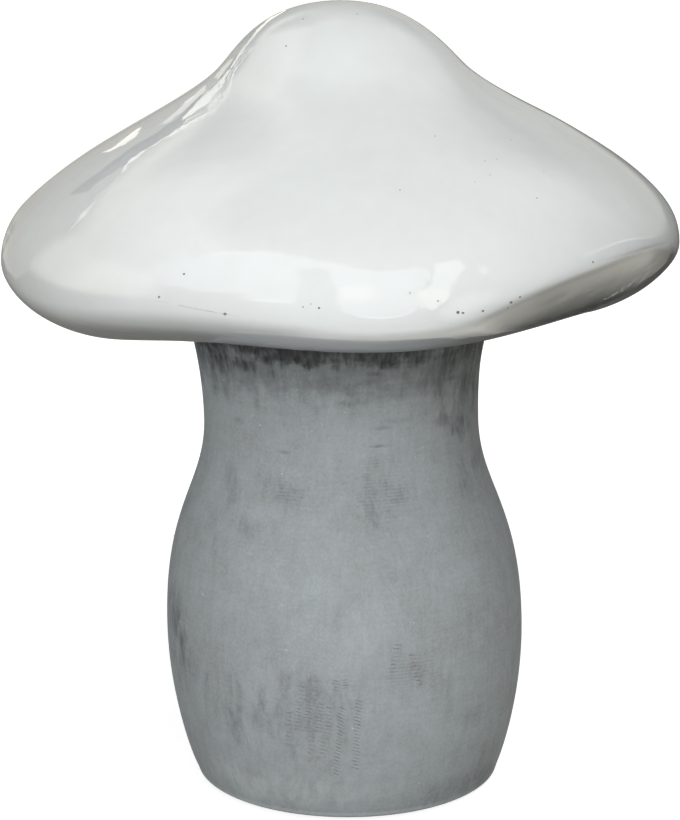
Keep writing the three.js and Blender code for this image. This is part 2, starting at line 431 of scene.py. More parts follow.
class Growth:
    """The geometry node trees that lay small things on the surfaces."""

    def __init__(self) -> None:
        """Builds the trees."""
        self.marks = self._marks()
        self.grit = self._grit()
        self.crease = self._crease()

    @staticmethod
    def _marks() -> GrowTree:
        """Lays a lens on each point of the carrier, turned to face and lie as the point says.

        Returns:
            The tree.
        """
        kinds = {"Least": VECTOR, "Most": VECTOR, "Seed": WHOLE, "Material": FINISH}
        grow = GrowTree("lay_marks", kinds)
        bench, given = grow.bench, grow.given
        facing, along = (grow.noted(name, "FLOAT_VECTOR") for name in ("facing", "along"))
        align = "FunctionNodeAlignRotationToVector"
        upright = bench.node(align, {"Vector": facing}, axis="Z").outputs[0]
        lying = {"Rotation": upright, "Vector": along}
        turned = bench.node(align, lying, axis="X", pivot_axis="Z").outputs[0]
        sizes = {0: grow.chance(), "Scale": grow.noted("size", "FLOAT")}
        scale = bench.node("ShaderNodeVectorMath", sizes, operation="SCALE").outputs[0]
        lens = bench.node("GeometryNodeMeshIcoSphere", {"Radius": 1.0, "Subdivisions": 2}).outputs["Mesh"]
        laid = bench.node("GeometryNodeInstanceOnPoints", {
            "Points": given["Geometry"], "Instance": lens, "Rotation": turned, "Scale": scale})
        grow.close(laid.outputs[0])
        return grow

    @staticmethod
    def _grit() -> GrowTree:
        """Scatters grains over the faces that the carrier marks as outside.

        Returns:
            The tree.
        """
        kinds = {"Density": FLOAT, "Least": VECTOR, "Most": VECTOR, "Seed": WHOLE, "Material": FINISH}
        grow = GrowTree("scatter_grit", kinds)
        bench, given = grow.bench, grow.given
        spread = bench.node("GeometryNodeDistributePointsOnFaces", {
            "Mesh": given["Geometry"], "Selection": grow.noted("outside", "FLOAT"),
            "Density": given["Density"], "Seed": given["Seed"]})
        grain = bench.node("GeometryNodeMeshIcoSphere", {"Radius": 1.0, "Subdivisions": 1}).outputs["Mesh"]
        laid = bench.node("GeometryNodeInstanceOnPoints", {
            "Points": spread.outputs["Points"], "Instance": grain,
            "Rotation": spread.outputs["Rotation"], "Scale": grow.chance()})
        grow.close(laid.outputs[0])
        return grow

    @staticmethod
    def _crease() -> GrowTree:
        """Draws a hairline along the carrier's edges, fine at both ends.

        Returns:
            The tree.
        """
        grow = GrowTree("draw_crease", {"Width": FLOAT, "Material": FINISH})
        bench, given = grow.bench, grow.given
        line = bench.node("GeometryNodeMeshToCurve", {"Mesh": given["Geometry"]}).outputs[0]
        share = bench.node("GeometryNodeSplineParameter").outputs["Factor"]
        swell = bench.math("SINE", bench.math("MULTIPLY", share, math.pi))
        radius = bench.math("MULTIPLY", swell, bench.math("MULTIPLY", given["Width"], 0.5))
        profile = bench.node("GeometryNodeCurvePrimitiveCircle", {"Resolution": 6, "Radius": 1.0})
        wire = bench.node("GeometryNodeCurveToMesh", {
            "Curve": line, "Profile Curve": profile.outputs[0], "Scale": radius, "Fill Caps": True})
        grow.close(wire.outputs[0])
        return grow


def place(made: bpy.types.Object) -> bpy.types.Object:
    """Puts an object in the scene."""
    bpy.context.scene.collection.objects.link(made)
    return made


def fit(piece: bpy.types.Object, body: Body, nodes: Sequence[str] = ()) -> None:
    """Fits a finished piece to the frame.

    Args:
        piece: The piece.
        body: The body that it rides on.
        nodes: The nodes that it stands for.
    """
    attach(piece, body.value)
    if nodes:
        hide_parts(*nodes)
    LOG.info("%s rides on %s, %d faces", piece.name, body.value, len(piece.data.polygons))


class Outline:
    """A half section, drawn as radius and height."""

    def __init__(self, radius: float, height: float) -> None:
        """Starts the outline at a point."""
        self.points: list[tuple[float, float]] = [(radius, height)]

    def line(self, radius: float, height: float, steps: int = 1) -> "Outline":
        """Draws a straight stretch.

        Args:
            radius: The end's radius.
            height: The end's height.
            steps: How many steps the stretch is cut into.

        Returns:
            The outline itself.
        """
        start = np.array(self.points[-1])
        end = np.array((radius, height))
        self.points += [tuple(start + (end - start) * i / steps) for i in range(1, steps + 1)]
        return self

    def curve(self, *handles: tuple[float, float], steps: int) -> "Outline":
        """Draws a curve that leaves and arrives along its handles.

        Args:
            handles: One or two handles, then the end.
            steps: How many steps the curve is cut into.

        Returns:
            The outline itself.
        """
        hull = [np.array(point) for point in (self.points[-1], *handles)]
        degree = len(hull) - 1
        for t in np.linspace(0.0, 1.0, steps + 1)[1:]:
            weights = [math.comb(degree, i) * t**i * (1.0 - t) ** (degree - i) for i in range(degree + 1)]
            self.points.append(tuple(sum(w * point for w, point in zip(weights, hull))))
        return self


class Skin:
    """The points and faces of a turned piece while it is being shaped."""

    def __init__(self, outline: Sequence[tuple[float, float]], segments: int) -> None:
        """Turns a closed outline about the upright axis, with its seam at the back.

        Args:
            outline: Radius and height of each point; the last is joined to the first.
            segments: How many steps go round.
        """
        self.faces: list[tuple[int, ...]] = []
        points: list[tuple[float, float, float]] = []
        rings: list[list[int]] = []
        self.ring_of: list[int] = []
        angles = [math.pi / 2 + 2 * math.pi * i / segments for i in range(segments)]
        for radius, height in outline:
            around = angles if radius > ON_AXIS else angles[:1]
            first = len(points)
            points += [(radius * math.cos(a), radius * math.sin(a), height) for a in around]
            rings.append([first + i for i in range(len(around))])
            self.ring_of += [len(rings) - 1] * len(around)
        for lower, upper in zip(rings, rings[1:] + rings[:1]):
            self._join(lower, upper, segments)
        self.points = np.array(points)

    def _join(self, lower: Sequence[int], upper: Sequence[int], segments: int) -> None:
        """Joins two rings with faces; a ring of one point is a pole.

        Args:
            lower: Point numbers of the first ring.
            upper: Point numbers of the next ring.
            segments: How many steps go round.
        """
        if len(lower) == len(upper) == 1:
            return
        for i in range(segments):
            j = (i + 1) % segments
            if len(lower) == 1:
                self.faces.append((lower[0], upper[j], upper[i]))
            elif len(upper) == 1:
                self.faces.append((lower[i], lower[j], upper[0]))
            else:
                self.faces.append((lower[i], lower[j], upper[j], upper[i]))

    def mesh(self, name: str) -> bpy.types.Mesh:
        """Makes a smooth mesh of the skin.

        Args:
            name: The mesh's name.

        Returns:
            The mesh.
        """
        made = bpy.data.meshes.new(name)
        made.from_pydata(self.points.tolist(), [], self.faces)
        made.shade_smooth()
        return made

    def normals(self) -> np.ndarray:
        """Measures which way the skin faces.

        Returns:
            One outward direction for each point.
        """
        mesh = self.mesh("measure")
        flat = np.empty(len(self.points) * 3)
        mesh.vertex_normals.foreach_get("vector", flat)
        bpy.data.meshes.remove(mesh)
        return flat.reshape(-1, 3)

    def push(self, amounts: np.ndarray) -> None:
        """Moves each point outwards by its own amount."""
        self.points += self.normals() * amounts[:, None]

    def piece(self, name: str) -> bpy.types.Object:
        """Makes the skin a piece of the scene."""
        return place(bpy.data.objects.new(name, self.mesh(name)))


class Surface:
    """A shaped skin that can be asked where a line of sight meets it."""

    TRIES = 400

    def __init__(self, skin: Skin) -> None:
        """Keeps the skin as it is now.

        Args:
            skin: The shaped skin.
        """
        self.points = [Vector(point) for point in skin.points]
        self.faces = list(skin.faces)
        self.normals = [Vector(normal) for normal in skin.normals()]
        self.tree = BVHTree.FromPolygons(self.points, self.faces)

    def _facing(self, spot: Vector, face: int) -> Vector:
        """Finds which way the smooth skin faces.

        Args:
            spot: A spot of the skin.
            face: The number of the face that it lies on.

        Returns:
            The outward direction, of length 1.
        """
        corners = self.faces[face]
        weights = poly_3d_calc([self.points[i] for i in corners], spot)
        return sum((self.normals[i] * w for i, w in zip(corners, weights)), Vector()).normalized()

    def meet(self, start: Vector, ray: Vector) -> tuple[Vector, Vector]:
        """Finds where a line of sight meets the skin, or comes nearest to it.

        Args:
            start: Where the line starts.
            ray: Its direction.

        Returns:
            The spot and the way it faces.
        """
        spot, _, face, _ = self.tree.ray_cast(start, ray)
        if spot is None:
            tries = range(3 * self.TRIES // 4, 5 * self.TRIES // 4)
            along = [start + ray * (start.length * share / self.TRIES) for share in tries]
            spot, _, face, _ = min((self.tree.find_nearest(p) for p in along), key=lambda found: found[3])
        return spot, self._facing(spot, face)


@dataclass(frozen=True)
class PhotoCamera:
    """The camera at the photograph's angle; pixels are those of the 680 by 820 photograph."""

    stand: tuple[float, float, float] = (0.5 * MM, -1244.1 * MM, 494.1 * MM)
    pitch: float = math.radians(13.562)
    lens: float = 109.3
    sensor: float = 36.0
    width_px: int = 680
    height_px: int = 820

    def build(self) -> None:
        """Makes the camera the scene's own."""
        data = bpy.data.cameras.new("photo_camera")
        data.sensor_width = self.sensor
        data.sensor_height = self.sensor
        data.sensor_fit = "VERTICAL"
        data.lens = self.lens
        made = place(bpy.data.objects.new("photo_camera", data))
        made.location = self.stand
        made.rotation_euler = (math.pi / 2 - self.pitch, 0.0, 0.0)
        bpy.context.scene.camera = made

    def ray(self, pixel: Pixel) -> Vector:
        """Finds the direction in which a pixel looks.

        Args:
            pixel: Its place in the photograph, from the top left corner.

        Returns:
            The direction, of length 1.
        """
        reach = self.lens / self.sensor * self.height_px
        right = (pixel[0] - self.width_px / 2) / reach
        up = (self.height_px / 2 - pixel[1]) / reach
        turn = Matrix.Rotation(-self.pitch, 3, "X")
        return (turn @ Vector((right, 1.0, up))).normalized()

    def touch(self, surface: Surface, pixel: Pixel) -> tuple[Vector, Vector]:
        """Finds the spot of a surface that a pixel of the photograph shows, and the way it faces."""
        return surface.meet(Vector(self.stand), self.ray(pixel))


def split_path(path: Sequence[Pixel], step: float, closed: bool = True) -> list[Pixel]:
    """Cuts a path into short steps.

    Args:
        path: The corners of the path.
        step: The longest step, in pixels.
        closed: Whether the last corner is joined to the first.

    Returns:
        All points of the path.
    """
    ends = list(path[1:]) + ([path[0]] if closed else [])
    dense: list[Pixel] = []
    for (x0, y0), (x1, y1) in zip(path, ends):
        count = max(1, math.ceil(math.hypot(x1 - x0, y1 - y0) / step))
        dense += [(x0 + (x1 - x0) * i / count, y0 + (y1 - y0) * i / count) for i in range(count)]
    return dense if closed else dense + [path[-1]]


@dataclass(frozen=True)
class Mark:
    """A small mark, where the photograph shows it; its long side leans from level by an angle."""

    pixel: Pixel
    size: float = 1.0
    lean: float = 0.0


@dataclass(frozen=True)
class Comb:
    """A row of short scratches that a toothed tool left, from one place in the photograph to another."""

    start: Pixel
    end: Pixel
    count: int
    length: float
    lean: float

    def marks(self) -> list[Mark]:
        """Lists the scratches.

        Returns:
            One mark for each.
        """
        steps = [i / (self.count - 1) for i in range(self.count)]
        (x0, y0), (x1, y1) = self.start, self.end
        return [Mark((x0 + (x1 - x0) * t, y0 + (y1 - y0) * t), self.length, self.lean) for t in steps]


def carrier(camera: PhotoCamera, surface: Surface, marks: Sequence[Mark],
            joined: bool = False) -> bpy.types.Object:
    """Makes a carrier with a point where each mark lies.

    Args:
        camera: Finds the places of the marks.
        surface: The surface that carries them.
        marks: The marks.
        joined: Whether an edge joins each point to the next.

    Returns:
        The carrier, whose points know which way to face, which way to lie and their size.
    """
    found = [camera.touch(surface, mark.pixel) for mark in marks]
    leans = [math.radians(mark.lean) for mark in marks]
    up = Matrix.Rotation(-camera.pitch, 3, "X") @ Vector((0.0, 0.0, 1.0))
    along = [Vector((1.0, 0.0, 0.0)) * math.cos(lean) + up * math.sin(lean) for lean in leans]
    mesh = bpy.data.meshes.new("marks")
    edges = [(i, i + 1) for i in range(len(marks) - 1)] if joined else []
    mesh.from_pydata([spot for spot, _ in found], edges, [])
    for name, rows in (("facing", [facing for _, facing in found]), ("along", along)):
        flat = [value for row in rows for value in row]
        mesh.attributes.new(name, "FLOAT_VECTOR", "POINT").data.foreach_set("vector", flat)
    note(mesh, "size", [mark.size for mark in marks])
    return place(bpy.data.objects.new("marks", mesh))


@dataclass(frozen=True)
class Fade:
    """A change of brightness from one pixel to another, where it is so many times as bright."""

    start: Pixel
    end: Pixel
    factor: float = 0.0

    def share(self, pixels: Sequence[Pixel]) -> np.ndarray:
        """Works out the brightness at each pixel.

        Args:
            pixels: The pixels.

        Returns:
            1 at the start, the factor at the end.
        """
        run = np.array(self.end) - np.array(self.start)
        way = np.clip((np.array(pixels) - np.array(self.start)) @ run / (run @ run), 0.0, 1.0)
        return 1.0 + (self.factor - 1.0) * way


@dataclass(frozen=True)
class Sheen:
    """Something bright or dark that the glaze mirrors, drawn where the photograph shows its reflection.

    A soft one changes to its rest tone over so many pixels inside its edge.
    """

    name: str
    edge: tuple[Pixel, ...]
    strength: float
    colour: Colour = WHITE
    distance: float = 2.2
    fades: tuple[Fade, ...] = ()
    step: float = 5.0
    soft: float = 0.0
    rest: float = 0.4

    LINE_STEP: ClassVar[float] = 6.0
    LINE_TIP: ClassVar[float] = 0.25

    @classmethod
    def line(cls, name: str, path: Sequence[Pixel], width: float, strength: float,
             **more: object) -> "Sheen":
        """Draws a thin line that tapers to both ends.

        Args:
            name: Its name.
            path: The pixels that it runs through.
            width: How many pixels it is wide at its widest.
            strength: Its brightness.
            more: The other fields.

        Returns:
            The shape.
        """
        dense = split_path(path, cls.LINE_STEP, closed=False)
        sides: tuple[list[Pixel], list[Pixel]] = ([], [])
        for i, (x, y) in enumerate(dense):
            ahead, behind = dense[min(i + 1, len(dense) - 1)], dense[max(i - 1, 0)]
            run = math.hypot(ahead[0] - behind[0], ahead[1] - behind[1])
            full = math.sin(math.pi * i / (len(dense) - 1))
            half = width / 2 * (cls.LINE_TIP + (1.0 - cls.LINE_TIP) * full)
            right, down = (behind[1] - ahead[1]) / run * half, (ahead[0] - behind[0]) / run * half
            sides[0].append((x + right, y + down))
            sides[1].append((x - right, y - down))
        return cls(name, tuple(sides[0] + sides[1][::-1]), strength, **more)

    def hang(self, camera: PhotoCamera, surface: Surface) -> None:
        """Hangs the shape where the glaze mirrors it, or lays it down where that is below the floor.

        Args:
            camera: The camera that sees the reflection.
            surface: The surface that mirrors it.
        """
        pixels, faces = self._cut()
        corners = []
        for pixel in pixels:
            spot, facing = camera.touch(surface, pixel)
            way = camera.ray(pixel).reflect(facing)
            drop = max(-way.z * self.distance, FLOOR_GAP)
            corners.append(spot + way * self.distance * min(1.0, (spot.z - FLOOR_GAP) / drop))
        mesh = bpy.data.meshes.new(self.name)
        mesh.from_pydata(corners, [], faces)
        tones = np.full(len(pixels), self.strength)
        for fade in self.fades:
            tones *= fade.share(pixels)
        if self.soft:
            tones = self.rest + (tones - self.rest) * ease(self._inset(pixels), 0.0, self.soft)
        mirrored_only(place(bpy.data.objects.new(self.name, mesh)), self.colour, tones)

    def _inset(self, pixels: Sequence[Pixel]) -> np.ndarray:
        """Works out how far each pixel lies from the edge.

        Args:
            pixels: The pixels.

        Returns:
            The distance of each, in pixels.
        """
        spots, starts = np.array(pixels)[:, None], np.array(self.edge)
        runs = np.roll(starts, -1, axis=0) - starts
        way = np.clip(((spots - starts) * runs).sum(axis=-1) / (runs**2).sum(axis=-1), 0.0, 1.0)
        return np.linalg.norm(spots - starts - way[..., None] * runs, axis=-1).min(axis=1)

    def _cut(self) -> tuple[list[Pixel], list[list[int]]]:
        """Cuts the shape into triangles, as fine inside as along its edge.

        Returns:
            The pixels of the corners, and the corners of each triangle.
        """
        edge = split_path(self.edge, self.step)
        joins = [(i, (i + 1) % len(edge)) for i in range(len(edge))]
        low, high = np.min(edge, axis=0), np.max(edge, axis=0)
        across, down = (np.arange(low[i] + self.step / 2, high[i], self.step) for i in range(2))
        inside = [(x, y) for x in across for y in down]
        corners, _, faces, *_ = delaunay_2d_cdt([Vector(p) for p in edge + inside], joins, [], 1, 1e-4)
        return [tuple(corner) for corner in corners], faces


def mirrored_only(made: bpy.types.Object, colour: Colour, tones: np.ndarray) -> None:
    """Makes an object of the stage glow, to be seen in reflections only.

    Args:
        made: The object.
        colour: The colour that it glows in.
        tones: Its brightness at each point; 1 is white.
    """
    note(made.data, "tone", tones)
    material = bpy.data.materials.new(made.name)
    bench = blank(material)
    lit = bench.node("ShaderNodeEmission", {"Color": opaque(colour), "Strength": bench.noted("tone")})
    bench.node("ShaderNodeOutputMaterial", {"Surface": lit.outputs[0]})
    made.data.materials.append(material)
    for ray in ("camera", "diffuse", "shadow", "transmission"):
        setattr(made, f"visible_{ray}", False)


@dataclass(frozen=True)
class SoftBox:
    """A lamp with a flat face, turned to the object's middle, that the glaze does not mirror.

    Its strength is the share of full light that it throws on a surface facing it.
    """

    name: str
    azimuth: float
    elevation: float
    width: float
    height: float
    strength: float
    distance: float = 2.2

    def hang(self, middle: Vector) -> None:
        """Hangs the lamp.

        Args:
            middle: The point that it faces.
        """
        data = bpy.data.lights.new(self.name, "AREA")
        data.shape = "RECTANGLE"
        data.size = self.width
        data.size_y = self.height
        data.energy = self.strength * (math.pi * self.distance) ** 2
        made = place(bpy.data.objects.new(self.name, data))
        away = Vector(direction(self.azimuth, self.elevation))
        made.location = middle + away * self.distance
        made.rotation_euler = away.to_track_quat("Z", "Y").to_euler()
        made.visible_camera = False
        made.visible_glossy = False


def open_skin(outline: Sequence[tuple[float, float]], segments: int) -> Skin:
    """Turns an open outline, facing up and inwards.

    Args:
        outline: Radius and height of each point.
        segments: How many steps go round.

    Returns:
        The skin.
    """
    skin = Skin(outline, segments)
    skin.faces = [face[::-1] for face in skin.faces[: segments * (len(outline) - 1)]]
    return skin


@dataclass(frozen=True)
class Zone:
    """A part of the surroundings, in degrees, with its brightness."""

    azimuth: float
    spread: float
    low: float
    high: float
    tone: float
    soft: float = 5.0

    def share(self, azimuth: np.ndarray, elevation: np.ndarray) -> np.ndarray:
        """Works out how much of the zone shows in each direction.

        Args:
            azimuth: The directions' azimuths.
            elevation: Their elevations.

        Returns:
            1 inside the zone, 0 outside it.
        """
        away = np.abs((azimuth - self.azimuth + 180.0) % 360.0 - 180.0)
        around = 1.0 - ease(away, self.spread - 2 * self.soft, self.spread + 2 * self.soft)
        above = ease(elevation, self.low - self.soft, self.low + self.soft)
        below = 1.0 - ease(elevation, self.high - self.soft, self.high + self.soft)
        return around * above * below


@dataclass(frozen=True)
class Surroundings:
    """What stands round the object, pale and dark, for the glaze to mirror; nothing else sees it."""

    radius: float = 3.0
    inner: float = 0.11
    lift: float = 2 * MM
    base: float = 0.8
    ground: float = 0.07
    ground_front: float = 0.45
    front: float = -30.0
    front_spread: tuple[float, float] = (70.0, 130.0)
    top: float = 89.0
    segments: int = 120
    step: float = 3.0
    zones: tuple[Zone, ...] = (
        Zone(0.0, 400.0, 66.0, 120.0, 0.30, 8.0),
        Zone(-110.0, 70.0, 31.0, 64.0, 1.7),
        Zone(-102.0, 24.0, 6.0, 31.0, 1.8),
        Zone(-152.0, 26.0, 7.0, 30.0, 0.30, 3.0),
        Zone(-158.0, 14.0, 38.0, 62.0, 0.2),
        Zone(-84.0, 20.0, 6.0, 32.0, 3.0),
        Zone(125.0, 70.0, 8.0, 62.0, 0.5, 8.0),
        Zone(130.0, 14.0, 36.0, 60.0, 0.95),
        Zone(158.0, 10.0, 28.0, 44.0, 0.05),
        Zone(150.0, 80.0, -20.0, 6.0, 0.14, 3.0),
        Zone(-130.0, 48.0, -20.0, 6.0, 0.50, 3.0),
    )

    def build(self, middle: Vector) -> None:
        """Builds the surroundings.

        Args:
            middle: The point that they stand round.
        """
        start = math.degrees(math.asin((self.lift - middle.z) / self.radius))
        outline = [(self.inner, self.lift)]
        for rise in np.radians(np.arange(start, self.top, self.step)):
            outline.append((self.radius * math.cos(rise), middle.z + self.radius * math.sin(rise)))
        skin = open_skin(outline + [(0.0, middle.z + self.radius)], self.segments)
        x, y, z = skin.points.T
        azimuth = np.degrees(np.arctan2(x, -y))
        elevation = np.degrees(np.arctan2(z - middle.z, np.hypot(x, y)))
        tone = np.full(len(z), self.base)
        for zone in self.zones:
            tone += (zone.tone - tone) * zone.share(azimuth, elevation)
        front = 1.0 - ease(np.abs(azimuth - self.front), *self.front_spread)
        ground = self.ground + (self.ground_front - self.ground) * front
        tone = np.where(np.array(skin.ring_of) == 0, ground, tone)
        mirrored_only(skin.piece("surroundings"), CREAM, tone)


@dataclass
class Studio:
    """A pale floor and a white sky, broad lamps, and surroundings and cards for the glaze to mirror."""

    floor_radius: float = 8.0
    floor_segments: int = 64
    floor_drop: float = 0.2 * MM
    floor_white: float = 0.45
    floor_glow: float = 0.87
    floor_near: float = 0.45
    floor_far: float = 0.9
    floor_dim: float = 0.14
    sky: float = 0.08
    middle: Vector = field(default_factory=lambda: Vector((0.0, 0.0, 270 * MM)))
    lamps: tuple[SoftBox, ...] = (
        SoftBox("low_lamp", -28.0, 3.0, 1.3, 0.45, 0.38),
        SoftBox("front_lamp", 6.0, 25.0, 1.8, 0.8, 0.30),
        SoftBox("right_lamp", 30.0, 40.0, 0.9, 0.9, 0.12),
        SoftBox("top_lamp", 35.0, 68.0, 1.2, 1.2, 0.32),
        SoftBox("back_left_lamp", -150.0, 13.0, 1.2, 0.8, 0.05),
        SoftBox("side_lamp", 100.0, 52.0, 1.0, 1.0, 0.05),
        SoftBox("back_lamp", 176.0, 20.0, 1.8, 1.0, 0.16),
    )
    surroundings: Surroundings = field(default_factory=Surroundings)
    sheens: tuple[Sheen, ...] = (
        Sheen("front_card", (
            (151, 266), (163, 262), (186, 260), (200, 256), (212, 252), (232, 250.5), (262, 251.5),
            (290, 253), (306, 258), (324, 262), (342, 265), (360, 270), (384, 271.5), (402, 270),
            (416, 268), (431, 269), (430, 281), (422, 294), (417, 311), (401, 316), (374, 319),
            (356, 315), (341, 310), (337, 299), (337, 284), (330, 273), (312, 268), (301, 270),
            (298, 281), (296, 302), (264, 301), (242, 292), (202, 293), (176, 287), (156, 281),
        ), strength=2.5, colour=SKY_BLUE),
        Sheen("dull_patch", (
            (256, 281), (272, 277), (297, 283), (298, 296), (276, 297), (258, 291),
        ), strength=2.0, colour=(0.9, 1.0, 0.92), distance=IN_FRONT),
        Sheen("cream_patch", (
            (341, 287), (375, 285), (372, 299), (345, 301),
        ), strength=3.6, colour=CREAM, distance=IN_FRONT),
        Sheen("spot_patch", (
            (398, 290), (415, 291), (414, 297), (400, 298),
        ), strength=1.8, colour=CREAM, distance=IN_FRONT),
        Sheen("side_patch", (
            (421, 290), (449, 288), (449, 307), (424, 308),
        ), strength=4.0, colour=CREAM, distance=IN_FRONT),
        Sheen.line("top_edge", (
            (203, 255.5), (225, 251.5), (250, 251), (277, 252.5),
        ), width=1.5, strength=3.8, distance=IN_FRONT),
        Sheen.line("low_edge", (
            (343, 311), (360, 317), (385, 318.5), (402, 315), (416, 310),
        ), width=1.6, strength=4.0, distance=IN_FRONT),
        Sheen.line("low_streak", (
            (238, 296), (262, 301), (300, 301),
        ), width=2.5, strength=3.6, colour=CREAM, distance=IN_FRONT),
        Sheen("side_card", (
            (434, 266), (450, 262), (464, 260), (464, 272), (456, 276), (450, 282), (449, 309),
            (430, 311), (421, 308), (422, 297), (427, 290), (433, 281),
        ), strength=3.1, colour=SKY_BLUE),
        Sheen("small_card", (
            (479, 266), (488, 265), (489, 271), (485, 276), (480, 273),
        ), strength=2.6),
        Sheen("slope_card", (
            (250, 36), (240, 50), (231, 66), (222, 86), (216, 98), (222, 106), (205, 116), (190, 124),
            (170, 135), (150, 146), (140, 153), (121, 172), (104, 188), (90, 203), (74, 222),
            (54, 233), (42, 243), (32, 257), (28, 272), (16, 279), (7, 270), (3, 256), (6, 240),
            (15, 218), (28, 200), (46, 184), (66, 169), (90, 153), (120, 135), (150, 118), (180, 100),
            (205, 83), (222, 66), (236, 48),
        ), strength=0.56, colour=CREAM, distance=0.2, fades=(
            Fade((40, 205), (12, 270), 1.5),
        )),
        Sheen("dark_flag", (
            (70, 195), (84, 183), (96, 174), (110, 163), (125, 152), (140, 143), (155, 134),
            (170, 124), (180, 116), (190, 106), (200, 96), (204, 100), (198, 109), (190, 119),
            (179, 128), (165, 138), (150, 146), (140, 153), (125, 166), (110, 175), (98, 184),
            (84, 193),
        ), strength=0.0, colour=CREAM, distance=0.185),
        Sheen("bright_card", (
            (103, 153), (112, 148), (122, 140), (134, 131), (141, 127), (137, 135), (126, 144),
            (114, 150),
        ), strength=1.9, colour=CREAM, distance=0.175),
        Sheen("pale_card", (
            (156, 128), (168, 118), (178, 109), (192, 97), (206, 84), (208, 88), (196, 100),
            (182, 112), (168, 123),
        ), strength=1.35, colour=CREAM, distance=0.175),
        Sheen.line("upper_strip", (
            (225, 106), (214, 112), (204, 117), (194, 122), (182, 129), (170, 135), (158, 142),
            (148, 148),
        ), width=2.0, strength=2.6, colour=CREAM, distance=BESIDE),
        Sheen.line("upper_strip_end", (
            (146, 149), (138, 155), (130, 162), (121, 172),
        ), width=2.0, strength=2.4, distance=BESIDE),
        Sheen.line("crown_strip", (
            (286, 10), (270, 19), (258, 30), (247, 44), (238, 56), (230, 69),
        ), width=2.2, strength=1.9, colour=CREAM, distance=BESIDE),
        Sheen.line("shoulder_strip", (
            (231, 67), (225, 76), (221, 84), (216, 92), (224, 91), (219, 98), (211, 105),
        ), width=3.2, strength=2.3, colour=CREAM, distance=BESIDE),
        Sheen.line("shoulder_glint", (
            (224, 102), (217, 107), (208, 112),
        ), width=2.2, strength=2.3, colour=CREAM, distance=BESIDE),
        Sheen.line("cell_strip", (
            (182, 125), (189, 118), (197, 113), (205, 112),
        ), width=1.8, strength=2.0, colour=CREAM, distance=BESIDE),
        Sheen.line("upper_glint", (
            (182, 105), (192, 98), (200, 96), (207, 95),
        ), width=2.0, strength=1.7, colour=CREAM, distance=BESIDE),
        Sheen.line("low_strip", (
            (97, 200), (88, 209), (79, 218), (69, 229),
        ), width=2.4, strength=2.4, distance=BESIDE),
        Sheen("far_flag", (
            (577, 261), (600, 251), (620, 243), (640, 239), (656, 239), (656, 248), (640, 250),
            (620, 256), (600, 262), (582, 269),
        ), strength=0.1, distance=0.3),
        Sheen.line("far_strip", (
            (572, 264), (590, 253), (605, 246.5), (620, 241.5), (635, 238.5), (648, 238),
        ), width=2.4, strength=1.5, distance=0.3),
        Sheen("flat_card", (
            (484, 331), (488, 322), (494, 315.5), (502, 310), (512, 304.5), (522, 299), (540, 290),
            (560, 279.5), (580, 271), (600, 263), (620, 257), (640, 251), (654, 247), (668, 243),
            (671, 252), (666, 262), (654, 273), (634, 288), (616, 299), (590, 310), (560, 319),
            (530, 327), (505, 331),
        ), strength=1.8, colour=CREAM, distance=0.17, fades=(
            Fade((575, 268), (588, 306)), Fade((545, 300), (486, 330), 2.2),
            Fade((645, 258), (668, 250), 0.3), Fade((503, 318), (485, 329), 1.4),
        )),
        Sheen("lip_card", (
            (262, 340), (300, 343), (330, 345), (360, 346), (385, 347), (410, 345.5), (435, 342.5),
            (455, 339.5), (472, 337), (490, 335), (510, 331), (526, 327), (534, 316), (530, 302),
            (522, 299.5), (512, 304.5), (502, 309), (488, 313), (472, 316), (455, 320), (435, 322),
            (410, 324), (385, 326), (360, 326), (330, 326), (300, 327), (270, 330),
        ), strength=2.2, colour=CREAM, distance=0.6, step=3.0, soft=8.0, fades=(
            Fade((330, 335), (275, 335), 0.4), Fade((470, 325), (500, 325), 0.8),
        )),
        Sheen("right_card", (
            (430, 322), (436, 308), (452, 294), (470, 286), (490, 284), (508, 290), (504, 300),
            (490, 310), (470, 320), (450, 326),
        ), strength=2.4, colour=CREAM, distance=0.5, step=4.0, soft=12.0, rest=0.5),
        Sheen.line("rim_strip", (
            (657, 251), (656, 260), (648, 271), (634, 283), (616, 294), (602, 300),
        ), width=1.8, strength=0.7, distance=0.15),
    )

    def build(self) -> None:
        """Lays the floor, sets the sky and hangs the lamps."""
        bpy.context.scene.view_settings.view_transform = "Standard"
        self._floor()
        self.surroundings.build(self.middle)
        self._sky()
        for lamp in self.lamps:
            lamp.hang(self.middle)

    def mirror(self, camera: PhotoCamera, surface: Surface) -> None:
        """Hangs what the glazed surface mirrors, for the camera that sees it."""
        for sheen in self.sheens:
            sheen.hang(camera, surface)

    @staticmethod
    def _seen(bench: Bench) -> Socket:
        """Tells the rays that show the background from those that only carry light.

        Args:
            bench: The tree to work in.

        Returns:
            A socket that is 1 for camera, mirrored and transmitted rays.
        """
        path = bench.node("ShaderNodeLightPath").outputs
        either = bench.math("MAXIMUM", path["Is Camera Ray"], path["Is Glossy Ray"])
        return bench.math("MAXIMUM", either, path["Is Transmission Ray"])

